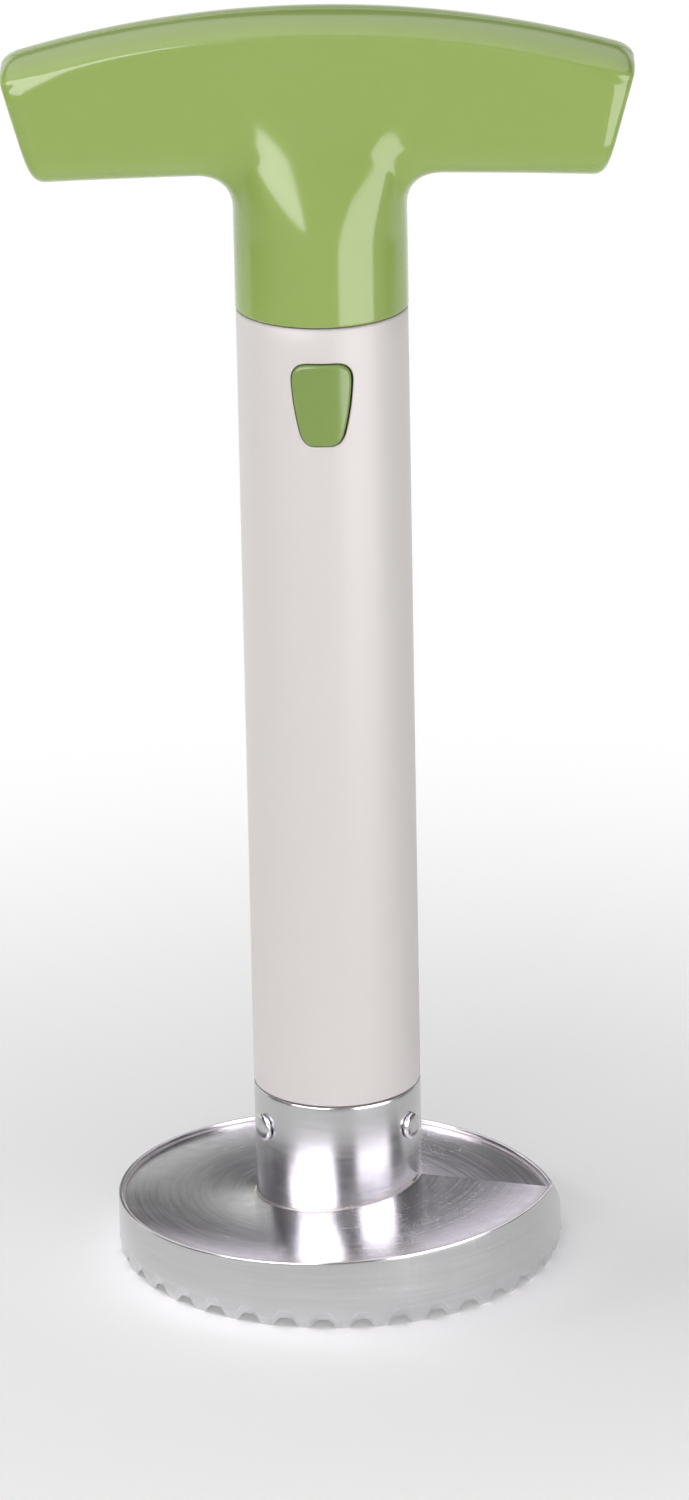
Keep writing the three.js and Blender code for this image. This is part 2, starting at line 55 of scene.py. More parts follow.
# Steps round a small turned piece, a boss, a pocket or plug, and a turn of the blade
SMALL_SIDES = 40
BOSS_SIDES = 48
POCKET_SIDES = 96
TURN_STEPS = 180

# Shaft
SHAFT_R = 16
BORE_R = 13.8
SHAFT_FOOT_Z = 6
SEAM_Z = 189
SHAFT_SIDES = 192
SHAFT_TOP_Z = SEAM_Z - 0.1
SHAFT_ROWS = 14
WINDOW_ROW_STEP = 0.8
WINDOW_REACH = 11
FOOT_STEP_EASE = 0.35
SHAFT_TOP_EASE = 0.3
KEYWAY_HALF_WIDTH = 2

# Core cutter
SLEEVE_WALL = 0.8
SLEEVE_FOOT_Z = 0.5
SLEEVE_TOP_Z = 34
SLEEVE_BORE_R = SHAFT_R - SLEEVE_WALL
MOUTH_HEIGHT = 4
MOUTH_DRAW_IN = 1.5
MOUTH_BLEND = 0.6
MOUTH_CURVE = 1.25
SLEEVE_TEETH = 16
SLEEVE_TOOTH_DEPTH = 2.4
SLEEVE_GROUND = 3.2
RIVET_COUNT = 3
RIVET_R = 1.5
RIVET_HEAD_R = 2.6
RIVET_HEAD_HEIGHT = 0.9
RIVET_HEAD_LIP = 0.2
RIVET_Z = 27
FIRST_RIVET_ANGLE = 90

# Spiral blade and rim
BLADE_PITCH = 10
BLADE_THICKNESS = 1
BLADE_LOW_Z = 4.5
BLADE_SWEEP = 345
EDGE_SHARE = 0.2
EDGE_SWEEP = 10
EDGE_EASE = 0.2
RIM_R = 42.7
RIM_WALL = 0.8
RIM_LIP = 0.8
RIM_TEETH = 36
RIM_TOOTH_DEPTH = 1.8
RIM_TOOTH_ANGLES = (0, 0.8, 1.7, 2.5, 3.0, 3.5, 4.0, 4.5, 5.2, 6.2, 7.3, 8.0, 8.5, 9.0, 9.5, 10)
RIM_TOOTH_RISE = (2.5, 5.2)
RIM_TOOTH_FALL = (7.3, 10)
RIM_BEVEL = 1.5
WELD_WIDTH = 0.9
WELD_INSET = 0.25

# Stem
STEM_R = BORE_R - GAP
STEM_BORE_R = STEM_R - 2
STEM_FOOT_Z = 143
STEM_TOP_Z = SEAM_Z + 16
STEM_LID = 3
WEB_HALF_WIDTH = 12
PLATE_HALF_WIDTH = 27
PLATE_HEIGHT = 16
PLATE_THICKNESS = 5.2
KEY_WIDTH = 3.4
KEY_HEIGHT = 1
KEY_FOOT_Z = STEM_FOOT_Z + 5
CAP_THICKNESS = 1.6
CAP_SKIRT_HEIGHT = 4
CAP_SKIRT_WALL = 1.5

# Button, spring and seat
BUTTON_Z = SEAM_Z - 14.8
BUTTON_HEIGHT = 15.5
BUTTON_HEAD_WIDTH = 11
BUTTON_FOOT_WIDTH = 8.2
BUTTON_FOOT_FLAT = 3
BUTTON_HEAD_ROUND = 3.1
BUTTON_FOOT_ROUND = 2.6
BUTTON_LEAST_ROUND = 0.25
BUTTON_SIDE_BOW = 0.25
BUTTON_EDGE = 0.55
BUTTON_INSETS = (0.9, 1.4, 2.0, 2.7, 3.3)
BUTTON_FACE_R = SHAFT_R + 0.5
BUTTON_COLUMNS = 8
CORNER_STEPS = 12
SIDE_STEPS = 14
BUTTON_BACK_Y = -6.8
PAD_SHIFT = -0.1
WINDOW_GAP = 0.25
WINDOW_EDGE = 0.3
FLANGE_WIDTH = 14.6
FLANGE_OVERLAP = 2.2
FLANGE_ROOM = 15
POST_R = 2
POST_LENGTH = 2.4
SPRING_START_Y = -6.5
SPRING_LENGTH = 9.4
SPRING_COIL_R = 3.1
SPRING_WIRE = 0.7
SPRING_COILS = 6
SPRING_CLOSING = 0.6
SEAT_FACE_Y = 3.2
SEAT_THICKNESS = 4.5
SEAT_HEIGHT = 18
SEAT_RIB_WIDTH = 5
SEAT_PIN_R = 1
SEAT_PIN_EASE = 0.25
SEAT_PIN_Y = SEAT_FACE_Y + SEAT_THICKNESS / 2
SEAT_PIN_Z = BUTTON_Z + 6

# Grip
GRIP_HALF_DEPTH = 10
GRIP_WALL = 2.3
GRIP_EDGE_ROUND = 8
GRIP_BROW_DROP = 3
GRIP_END_ROUND = 2
HEAD_END_ROUND = 4
HEAD_END_FADE = 22
SOFT_CORNER_X = 38
SOFT_CORNER_LEAN = 0.2
SOFT_CORNER_R = 9
GRIP_HEAD_REACH = 58.6
GRIP_END_LEAN = 6
CROWN_Z = SEAM_Z + 56.3
CROWN_RADIUS = 200
UNDERSIDE_Z = SEAM_Z + 25.9
UNDERSIDE_RADIUS = 1400
NECK_R = 16.1
NECK_THINNING = 8.3
NECK_SQUARING = 3.1
NECK_WIDENING = 3.8
NECK_BLEND_Z = SEAM_Z + 13.4
NECK_BLEND_HEIGHT = 40
NECK_WIDENING_Z = SEAM_Z + 33
NECK_WIDENING_HEIGHT = 11.5
NECK_TOP_Z = SEAM_Z + 46
FRONT_FILLET = 2.8
SIDE_FILLET = 7
SIDE_FILLET_Y = 7
FRONT_FILLET_Y = 11
FILLET_TURN = (0.5, 1.0)
MOUTH_Z = SEAM_Z + 0.1
PARTING_GAP = 0.1
SKIN_STEP = 0.6
SKIN_MARGIN_X = 2
SKIN_MARGIN_Y = 1.5
SKIN_MARGIN_Z = 1
RELAX_ROUNDS = 5
PULL_ROUNDS = 3
# Depth of each row of a half's lip, with its height over the parting plane and over the mouth.
LIP_ROWS = ((0.03, 0.13, 0.12), (0.10, 0.04, 0.04), (0.25, 0, 0))
OUTER_LIP = (0, 0.25, 0.22)

# Screws and caps
SCREW_XS = (-44, -20, 20, 44)
SCREW_R = 1.45
SCREW_HEAD_R = 2.7
SCREW_HEAD_HEIGHT = 1.8
SCREW_LENGTH = 12.6
SCREW_POINT = 1.6
SCREW_SEED = 4
THREAD_DEPTH = 0.35
THREAD_TURNS = 8
THREAD_PITCH = 1.1
THREAD_STEPS = 24
THREAD_START = 1.2
THREAD_HALF_FOOT = 0.25
THREAD_HALF_CREST = 0.04
RECESS_ARM = (1.6, 0.35)
BOSS_R = 4.6
BOSS_OVERLAP = 0.2
BOSS_FACE_Y = 0.15
POCKET_R = 3.5
POCKET_FLOOR_Y = 5
HEAD_SEAT_Y = 5.8
SCREW_HOLE_R = 1.75
SCREW_HOLE_END_Y = 7.1
PLUG_R = POCKET_R - 0.12
PLUG_EASE = 0.3

# Camera, as the photograph was taken
PHOTO_WIDTH, PHOTO_HEIGHT = 689, 1500
SEAM_PIXEL = (322.2, 303.6)
CAMERA_DISTANCE = 1400
CAMERA_AZIMUTH = 1
CAMERA_ELEVATION = 16.8
CAMERA_ROLL = -1.1
LENS = 181
LONG_SENSOR = 36

# Studio, in metres and plain strengths of light
LAMP_AIM_Z = (SEAM_Z + 25) * MM
COOL_WHITE = (1.0, 0.93, 1.05, 1)
WHITE = (1, 1, 1, 1)
WORLD_LOW = 0.32
WORLD_HIGH = 0.08
WORLD_FALL = (0.20, 0.30)
FLOOR_REACH = 6
FLOOR_GLOW = 0.22
FLOOR_BOUNCE = 0.3
FLOOR_FRONT = 0.5
FLOOR_FADE = (0.05, 0.3)
BACK_FADE = (0.0, 0.3)
OVERHEAD_Z = 1.2
OVERHEAD_XS = (-1.3, -0.3, 0, 0.3, 1.3)
OVERHEAD_REAR = (2.4, 2.2, 1.65, 2.2, 2.4)

# Finishes
GRIP_GREEN = (0.332, 0.458, 0.116)
BUTTON_GREEN = (0.248, 0.358, 0.092)
SHAFT_WHITE = (0.76, 0.72, 0.70)
STEM_GREY = (0.62, 0.63, 0.60)
STEEL_COLOR = (0.60, 0.604, 0.603, 1)
# Lighter colours of worn edges and scratches; at edges the lightness is partly a painted highlight
WORN_AND_HIGHLIT_STEEL = (0.78, 0.78, 0.78, 1)
SCRATCHED_STEEL = (0.72, 0.72, 0.72, 1)
BRIGHT_EDGE = (0.8, 0.8, 0.8, 1)
WELD_EDGE = (0.75, 0.75, 0.75, 1)
STRAW_COLOR = (0.56, 0.50, 0.42, 1)
METAL = {"Metallic": 1.0}
PLASTIC_IOR = 1.49
# Share of its colour that the painted shade along a joint leaves
PAINTED_JOINT_SHADE = 0.42
# Paling of worn edges, partly a painted highlight, and of fibres
WORN_AND_HIGHLIT_PALING = 0.25
FIBRE_PALING = 0.3
DUSTY_ROUGHNESS = 0.55
RUBBED_ROUGHNESS = 0.16
SCRATCHED_ROUGHNESS = 0.42
FULL_EDGE_ANGLE = 40
CREASE_ANGLE = 35


# Camera and lamps
def loose_object(name, data):
    made = bpy.data.objects.new(name, data)
    bpy.context.scene.collection.objects.link(made)
    return made


def add_camera():
    """Looks at the seam from the photograph's side, and turns until the seam falls on its pixel."""
    data = bpy.data.cameras.new("camera")
    data.lens = LENS
    data.sensor_fit = "VERTICAL"
    data.sensor_height = LONG_SENSOR
    data.clip_start = 0.05
    data.clip_end = 50
    camera = loose_object("camera", data)
    turn, tilt = math.radians(CAMERA_AZIMUTH), math.radians(CAMERA_ELEVATION)
    seam = Vector((0, 0, SEAM_Z))
    outward = Vector((math.sin(turn), -math.cos(turn), 0))
    right = Vector((math.cos(turn), math.sin(turn), 0))
    back = outward * math.cos(tilt) + Vector((0, 0, math.sin(tilt)))
    down = outward * math.sin(tilt) - Vector((0, 0, math.cos(tilt)))
    across = SEAM_PIXEL[0] - PHOTO_WIDTH / 2
    above = PHOTO_HEIGHT / 2 - SEAM_PIXEL[1]
    roll = math.radians(-CAMERA_ROLL)
    pixel = CAMERA_DISTANCE * LONG_SENSOR / LENS / PHOTO_HEIGHT
    left_of_middle = -(across * math.cos(roll) + above * math.sin(roll)) * pixel
    above_middle = (above * math.cos(roll) - across * math.sin(roll)) * pixel
    target = seam + right * left_of_middle + down * above_middle
    place = seam + back * CAMERA_DISTANCE
    turn = (target - place).to_track_quat("-Z", "Y").to_matrix().to_4x4()
    camera.matrix_world = Matrix.Translation(place * MM) @ turn @ Matrix.Rotation(-roll, 4, "Z")
    bpy.context.scene.camera = camera


def add_lamp(name, azimuth, elevation, distance, width, height, radiance):
    """A soft box at an azimuth from the front, to the right, that isn't mirrored in the object."""
    data = bpy.data.lights.new(name, "AREA")
    data.shape = "RECTANGLE"
    data.size = width
    data.size_y = height
    data.energy = radiance * math.pi * width * height
    lamp = loose_object(name, data)
    turn, climb = math.radians(azimuth), math.radians(elevation)
    level = math.cos(climb)
    away = Vector((math.sin(turn) * level, -math.cos(turn) * level, math.sin(climb)))
    rotation = away.to_track_quat("Z", "Y").to_matrix().to_4x4()
    lamp.matrix_world = Matrix.Translation(Vector((0, 0, LAMP_AIM_Z)) + away * distance) @ rotation
    lamp.visible_camera = False
    lamp.visible_glossy = False


def cleared(owner):
    """The empty node tree of a material or world."""
    owner.use_nodes = True
    owner.node_tree.nodes.clear()
    return owner.node_tree


def stage_mesh(name, points, faces, material, *unseen_by):
    """A thing of the studio that the named kinds of ray don't meet."""
    mesh = bpy.data.meshes.new(name)
    mesh.from_pydata(points, [], faces)
    mesh.materials.append(material)
    thing = loose_object(name, mesh)
    for ray in unseen_by:
        setattr(thing, "visible_" + ray, False)
    return mesh


def arc(start, end, height, distance):
    """Points at a height round the object, between two azimuths from the front, to the right."""
    angles = np.radians(np.linspace(start, end, 9))
    return [(math.sin(a) * distance, -math.cos(a) * distance, height) for a in angles]


def add_panel(name, *rows):
    """A panel that only reflections show: rows of points from its lower edge up, each with a glow."""
    points = [point for row, _ in rows for point in row]
    count = len(rows[0][0])
    faces = []
    for start in range(0, len(points) - count, count):
        above = start + count
        faces += [(start + i, start + i + 1, above + i + 1, above + i) for i in range(count - 1)]
    material = bpy.data.materials.new(name)
    tree = cleared(material)
    strength = flow(tree, "ShaderNodeAttribute", output="Fac", attribute_name="glow")
    glow = flow(tree, "ShaderNodeEmission", {"Color": COOL_WHITE, "Strength": strength})
    add_node(tree, "ShaderNodeOutputMaterial", {"Surface": glow})
    mesh = stage_mesh(name, points, faces, material, "camera", "diffuse", "shadow")
    glow_of_point = mesh.attributes.new("glow", "FLOAT", "POINT")
    glow_of_point.data.foreach_set("value", np.repeat([strength for _, strength in rows], count))


def add_card(name, x, front, back, top):
    """A dark upright card beside the object that only reflections and soft light meet."""
    material = bpy.data.materials.new(name)
    material.use_nodes = True
    feed(material.node_tree.nodes["Principled BSDF"], {"Base Color": (0.04, 0.04, 0.04, 1), "Roughness": 1.0})
    corners = [(x, front, 0), (x, back, 0), (x, back, top), (x, front, top)]
    stage_mesh(name, corners, [(0, 1, 2, 3)], material, "camera")


def add_world():
    """White to the camera and, low down behind, to reflections. Elsewhere a light, stronger low down."""
    world = bpy.data.worlds.new("studio")
    tree = cleared(world)
    rays = outputs_of(tree, add_node(tree, "ShaderNodeLightPath"))
    _, y, z = axes(flow(tree, "ShaderNodeTexCoord", output="Generated")).values()
    mirrored = rays["Is Glossy Ray"].at_least(rays["Is Transmission Ray"]) * ramp(y, *BACK_FADE)
    low = ramp(mirrored, 0.0, 1.0, WORLD_LOW, 1.0)
    strength = ramp(z, *WORLD_FALL, low, WORLD_HIGH)
    light = flow(tree, "ShaderNodeBackground", {"Color": WHITE, "Strength": strength})
    white = flow(tree, "ShaderNodeBackground", {"Color": WHITE, "Strength": 1.0})
    add_node(tree, "ShaderNodeOutputWorld", {"Surface": mixed_shader(rays["Is Camera Ray"], light, white)})
    bpy.context.scene.world = world


def add_floor():
    """A white table that keeps the object's shadow near its foot and goes over to plain white further out."""
    material = bpy.data.materials.new("white_table")
    tree = cleared(material)
    rays = outputs_of(tree, add_node(tree, "ShaderNodeLightPath"))
    seen = rays["Is Camera Ray"].at_least(rays["Is Glossy Ray"]).at_least(rays["Is Transmission Ray"])
    place = flow(tree, "ShaderNodeTexCoord", output="Object")
    far = ramp(length_of(place), *FLOOR_FADE, smooth=True)
    back = ramp(axes(place)["Y"], *BACK_FADE, FLOOR_FRONT, 1.0)
    table = flow(tree, "ShaderNodeBsdfDiffuse", {"Color": (0.8, 0.8, 0.8, 1)})
    glow = flow(tree, "ShaderNodeEmission", {"Strength": FLOOR_GLOW})
    bounce = flow(tree, "ShaderNodeEmission", {"Strength": FLOOR_BOUNCE})
    white = flow(tree, "ShaderNodeEmission", {"Strength": rays["Is Camera Ray"].at_least(back)})
    near = flow(tree, "ShaderNodeAddShader", {0: table, 1: glow})
    unseen = flow(tree, "ShaderNodeAddShader", {0: table, 1: bounce})
    shown = mixed_shader(far, near, white)
    add_node(tree, "ShaderNodeOutputMaterial", {"Surface": mixed_shader(seen, unseen, shown)})
    reach = FLOOR_REACH
    corners = [(-reach, -reach, 0), (reach, -reach, 0), (reach, reach, 0), (-reach, reach, 0)]
    stage_mesh("floor", corners, [(0, 1, 2, 3)], material)


# Nodes
class Flow:
    """A node's output in its tree. Sums, products and the like of flows add Math nodes."""

    def __init__(self, tree, socket):
        self.tree = tree
        self.socket = socket

    def __add__(self, other):
        return maths("ADD", self, other)

    def __radd__(self, other):
        return maths("ADD", other, self)

    def __sub__(self, other):
        return maths("SUBTRACT", self, other)

    def __rsub__(self, other):
        return maths("SUBTRACT", other, self)

    def __mul__(self, other):
        return maths("MULTIPLY", self, other)

    def __truediv__(self, other):
        return maths("DIVIDE", self, other)

    def __rtruediv__(self, other):
        return maths("DIVIDE", other, self)

    def __abs__(self):
        return maths("ABSOLUTE", self)

    def at_least(self, other):
        return maths("MAXIMUM", self, other)

    def at_most(self, other):
        return maths("MINIMUM", self, other)


def feed(node, inputs):
    """Link or set a node's inputs."""
    for key, value in inputs.items():
        if isinstance(value, Flow):
            value.tree.links.new(value.socket, node.inputs[key])
        else:
            node.inputs[key].default_value = value


def add_node(tree, kind, inputs=None, **settings):
    made = tree.nodes.new(kind)
    for key, value in settings.items():
        setattr(made, key, value)
    feed(made, inputs or {})
    return made


def flow(tree, kind, inputs=None, output=0, **settings):
    """One output of a new node."""
    return Flow(tree, add_node(tree, kind, inputs, **settings).outputs[output])


def outputs_of(tree, node):
    return {socket.name: Flow(tree, socket) for socket in node.outputs}


def maths(operation, *values):
    tree = next(value.tree for value in values if isinstance(value, Flow))
    return flow(tree, "ShaderNodeMath", dict(enumerate(values)), operation=operation)


def axes(vector):
    return outputs_of(vector.tree, add_node(vector.tree, "ShaderNodeSeparateXYZ", {0: vector}))


def vector_of(tree, x=0.0, y=0.0, z=0.0):
    return flow(tree, "ShaderNodeCombineXYZ", {0: x, 1: y, 2: z})


def length_of(vector):
    return flow(vector.tree, "ShaderNodeVectorMath", {0: vector}, output="Value", operation="LENGTH")


def noise(vector, scale, detail):
    return flow(vector.tree, "ShaderNodeTexNoise", {"Vector": vector, "Scale": scale, "Detail": detail})


def ramp(value, start, end, low=0.0, high=1.0, smooth=False):
    """Runs from low to high as the value runs from start to end, and stays there beyond."""
    return flow(value.tree, "ShaderNodeMapRange", {
        "Value": value, "From Min": start, "From Max": end, "To Min": low, "To Max": high,
    }, interpolation_type="SMOOTHSTEP" if smooth else "LINEAR")


def toned(color, value):
    return flow(color.tree, "ShaderNodeHueSaturation", {"Value": value, "Color": color})


def mixed_color(share, first, second):
    return flow(share.tree, "ShaderNodeMix", {0: share, 6: first, 7: second}, output=2, data_type="RGBA")


def mixed_value(share, first, second):
    return flow(share.tree, "ShaderNodeMix", {0: share, 2: first, 3: second})


def mixed_shader(share, first, second):
    return flow(share.tree, "ShaderNodeMixShader", {0: share, 1: first, 2: second})


def node_group(name, kind, inputs, outputs):
    """An empty group and what its input node gives. An input is its default value, or a kind of socket."""
    tree = bpy.data.node_groups.new(name, kind)
    kinds = {float: "Float", int: "Int", bool: "Bool"}
    for label, value in inputs.items():
        socket_kind = kinds.get(type(value), value)
        socket = tree.interface.new_socket(label, in_out="INPUT", socket_type=f"NodeSocket{socket_kind}")
        if value != socket_kind:
            socket.default_value = value
    for label, socket_kind in outputs.items():
        tree.interface.new_socket(label, in_out="OUTPUT", socket_type=f"NodeSocket{socket_kind}")
    return tree, outputs_of(tree, add_node(tree, "NodeGroupInput"))


def shader_group(name, inputs, outputs=None):
    """A shader group fed by the place on the piece, which puts out a mask unless told otherwise."""
    return node_group(name, "ShaderNodeTree", {"Vector": "Vector", **inputs}, outputs or {"Mask": "Float"})


def skin_group(name, inputs):
    """A shader group that gives a skin its colour, gloss and height."""
    outputs = {"Color": "Color", "Roughness": "Float", "Height": "Float"}
    return shader_group(name, {"Color": "Color", **inputs}, outputs)


def end_group(tree, **outputs):
    add_node(tree, "NodeGroupOutput", outputs)
    return tree


# Shared surface effects
def moulded_skin():
    """Moulded plastic: cloudy colour, uneven gloss and the faint waviness of a polished mould."""
    tree, given = skin_group("moulded_skin", {
        "Cloud Size": 0.03, "Cloud Amount": 0.03, "Wave Size": 0.003, "Grain Size": 0.0004,
        "Grain Share": 0.2, "Roughness": 0.3, "Roughness Spread": 0.05,
    })
    place = given["Vector"]
    clouds = noise(place, 1.0 / given["Cloud Size"], 3.0)
    color = toned(given["Color"], 1.0 + (clouds - 0.5) * given["Cloud Amount"])
    upright = flow(tree, "ShaderNodeVectorMath", {0: place, 1: (1, 1, 0.35)}, operation="MULTIPLY")
    streaks = noise(upright, 4.0 / given["Cloud Size"], 4.0)
    rough = given["Roughness"] + (streaks - 0.5) * given["Roughness Spread"]
    waves = noise(place, 1.0 / given["Wave Size"], 1.0)
    grain = noise(place, 1.0 / given["Grain Size"], 2.0)
    height = mixed_value(given["Grain Share"], waves, grain)
    return end_group(tree, Color=color, Roughness=rough, Height=height)


def worn_and_highlit_edge():
    """Mask of worn edges, lightened partly as a painted highlight, broken up by noise."""
    tree, given = shader_group("worn_and_highlit_edge", {"Edge": 0.0, "Amount": 0.5, "Patch Size": 0.004})
    patches = noise(given["Vector"], 1.0 / given["Patch Size"], 4.0)
    worn_and_highlit = given["Edge"] * ramp(patches, 0.35, 0.65) * given["Amount"]
    return end_group(tree, Mask=worn_and_highlit.at_most(1.0))


def joint_line():
    """Mask of painted shade, and of fine dust that dulls the gloss, within a width of a joint."""
    tree, given = shader_group("joint_line", {"Distance": 0.0, "Width": 0.0005, "Amount": 0.5})
    near = ramp(abs(given["Distance"]), 0.0, given["Width"], 1.0, 0.0, smooth=True)
    uneven = 0.7 + noise(given["Vector"], 300.0, 3.0) * 0.6
    mask = near * uneven * given["Amount"]
    return end_group(tree, Mask=mask.at_most(1.0))


def fine_scratches():
    """Mask of hair-fine scratches in two crossing directions."""
    tree, given = shader_group("fine_scratches", {"Spacing": 0.002, "Amount": 0.5})
    scale = 1.0 / given["Spacing"]
    stretch, hair_width, patch_share = (1, 1, 0.06), 0.012, 0.12
    lines = []
    for turn in (0.5, -0.9):
        placed = flow(tree, "ShaderNodeMapping", {
            "Vector": given["Vector"], "Rotation": (turn, turn * 0.6, turn * 1.3), "Scale": stretch,
        })
        lines.append(ramp(abs(noise(placed, scale, 2.0) - 0.5), 0.0, hair_width, 1.0, 0.0))
    kept = ramp(noise(given["Vector"], scale * patch_share, 2.0), 0.5, 0.7)
    return end_group(tree, Mask=maths("MAXIMUM", *lines) * kept * given["Amount"])


def brushed_round_shaft():
    """Steel brushed round the shaft's axis, ground straight below a height."""
    tree, given = skin_group("brushed_round_shaft", {
        "Line Width": 0.0004, "Contrast": 0.15, "Pitch": 0.0, "Ground Below": -1.0, "Roughness": 0.25,
        "Roughness Spread": 0.1,
    })
    x, y, z = axes(given["Vector"]).values()
    angle = maths("ARCTAN2", y, x)
    cosine, sine = maths("COSINE", angle), maths("SINE", angle)
    around = maths("FLOORED_MODULO", angle, math.tau)
    radius = maths("SQRT", maths("POWER", x, 2.0) + maths("POWER", y, 2.0))
    level = z - around * (given["Pitch"] / math.tau)
    fine = 1.0 / given["Line Width"]
    line_turns, ground_turns, ground_scale, ground_edge = 2.5, 60.0, 200.0, 0.0002
    round_lines = vector_of(tree, cosine * line_turns, sine * line_turns, radius * fine)
    lines = flow(tree, "ShaderNodeTexNoise", {
        "Vector": round_lines, "W": level * fine, "Scale": 1.0, "Detail": 3.0,
    }, noise_dimensions="4D")
    upright = vector_of(tree, cosine * ground_turns, sine * ground_turns, z * ground_scale)
    below = ramp(z - given["Ground Below"], -ground_edge, ground_edge, 1.0, 0.0)
    marks = mixed_value(below, lines, noise(upright, 1.0, 2.0))
    smears = noise(given["Vector"], 45.0, 3.0)
    uneven = (marks - 0.5) + (smears - 0.5) * 0.7
    color = toned(given["Color"], 1.0 + uneven * given["Contrast"])
    rough = given["Roughness"] + uneven * given["Roughness Spread"]
    return end_group(tree, Color=color, Roughness=rough, Height=marks)


def heat_tint():
    """Mask of the straw-coloured stain that welding leaves beside a bead, widest at each spot."""
    tree, given = shader_group("heat_tint", {"Radius": 0.016, "Width": 0.002, "Amount": 0.5})
    x, y, _ = axes(given["Vector"]).values()
    away = abs(length_of(vector_of(tree, x, y)) - given["Radius"])
    reach = given["Width"] * (0.4 + noise(given["Vector"], 160.0, 2.0))
    mask = ramp(away / reach, 0.2, 1.0, 1.0, 0.0, smooth=True)
    return end_group(tree, Mask=mask * given["Amount"])


# Materials
def new_material(name):
    """A material with its Principled shader, the place on the piece and the piece's edge attribute."""
    material = bpy.data.materials.new(name)
    material.use_nodes = True
    tree = material.node_tree
    place = flow(tree, "ShaderNodeTexCoord", output="Object")
    return material, place, flow(tree, "ShaderNodeAttribute", output="Fac", attribute_name="edge")


def effect(group, place, inputs):
    """A shared effect placed in a material with its own values."""
    made = add_node(place.tree, "ShaderNodeGroup", {"Vector": place, **inputs}, node_tree=group)
    return outputs_of(place.tree, made)


# Mask of worn edges, whose lighter colour is partly a painted highlight
def worn_and_highlit_mask(place, edge, amount, patch=0.004):
    return effect(WORN_AND_HIGHLIT, place, {"Edge": edge, "Amount": amount, "Patch Size": patch})["Mask"]


def scratch_mask(place, spacing, amount):
    return effect(SCRATCHES, place, {"Spacing": spacing, "Amount": amount})["Mask"]


def finish_surface(material, color, roughness, height, depth, even=None):
    """Colour, gloss and a bump of a depth in millimetres into the shader, with the values even all over."""
    tree = material.node_tree
    bump = flow(tree, "ShaderNodeBump", {"Strength": 1.0, "Distance": depth * MM, "Height": height})
    shader = tree.nodes["Principled BSDF"]
    feed(shader, {"Base Color": color, "Roughness": roughness, "Normal": bump, **(even or {})})
    return material


def paled(color, share):
    return (*[(1 - share) * c + share for c in color], 1)


def plastic(name, color, roughness, mould, joint, wear_and_highlight=0.25):
    """Moulded plastic from a polished or a dull mould, with painted shade and dust along a joint and a
    painted highlight on worn edges.
    """
    material, place, edge = new_material(name)
    depth, values = mould
    skin = effect(SKIN, place, {"Color": (*color, 1), "Roughness": roughness, **values})
    axis, height, width = joint
    from_joint = axes(place)[axis] - height * MM
    line = effect(LINE, place, {"Distance": from_joint, "Width": width * MM, "Amount": 0.75})["Mask"]
    hairs = scratch_mask(place, spacing=0.006, amount=0.12)
    # Painted shade: the colour darkens along the joint, where the gap's shade falls
    shade = mixed_color(line, skin["Color"], (*[PAINTED_JOINT_SHADE * c for c in color], 1))
    # Painted highlight and wear: sharp edges paled towards white
    shade = mixed_color(worn_and_highlit_mask(place, edge, wear_and_highlight), shade, paled(color, WORN_AND_HIGHLIT_PALING))
    rough = mixed_value(hairs.at_least(line), skin["Roughness"], DUSTY_ROUGHNESS)
    return finish_surface(material, shade, rough, skin["Height"], depth, even={"IOR": PLASTIC_IOR})


def filled_plastic(name, color, roughness):
    """Grey glass-filled plastic, with pale fibres and specks in it."""
    material, place, edge = new_material(name)
    skin = effect(SKIN, place, {
        "Color": (*color, 1), "Roughness": roughness, "Cloud Size": 0.012, "Cloud Amount": 0.12,
        "Wave Size": 0.0012, "Grain Size": 0.0003, "Grain Share": 0.6, "Roughness Spread": 0.15,
    })
    # Sharp edges are paled with the fibres, partly as a painted highlight
    marks = scratch_mask(place, spacing=0.0012, amount=0.6).at_least(worn_and_highlit_mask(place, edge, 0.4))
    shade = mixed_color(marks, skin["Color"], paled(color, FIBRE_PALING))
    return finish_surface(material, shade, skin["Roughness"], skin["Height"], depth=0.02)


def brushed_steel(name, roughness, pitch=0.0, ground=-1.0, welds=()):
    """Stainless steel brushed round the axis, with worn edges lightened partly as a painted highlight,
    scratches and the stains of its welds.
    """
    material, place, edge = new_material(name)
    steel = effect(BRUSHED, place, {
        "Color": STEEL_COLOR, "Line Width": 0.0005, "Contrast": 0.22, "Pitch": pitch * MM,
        "Ground Below": ground * MM, "Roughness": roughness, "Roughness Spread": 0.16,
    })
    worn_and_highlit = worn_and_highlit_mask(place, edge, 0.8, patch=0.003)
    hairs = scratch_mask(place, spacing=0.004, amount=0.35)
    # Worn edges lighter and glossier; the lighter colour is partly a painted highlight
    shade = mixed_color(worn_and_highlit, steel["Color"], WORN_AND_HIGHLIT_STEEL)
    shade = mixed_color(hairs, shade, SCRATCHED_STEEL)
    for radius in welds:
        stain = effect(TINT, place, {"Radius": radius * MM, "Width": 0.0022, "Amount": 0.55})["Mask"]
        shade = mixed_color(stain, shade, STRAW_COLOR)
    rough = mixed_value(worn_and_highlit, steel["Roughness"], RUBBED_ROUGHNESS)
    rough = mixed_value(hairs, rough, SCRATCHED_ROUGHNESS)
    return finish_surface(material, shade, rough, steel["Height"], depth=0.004, even={
        "Metallic": 1.0, "Anisotropic": 0.5, "Anisotropic Rotation": 0.25,
    })


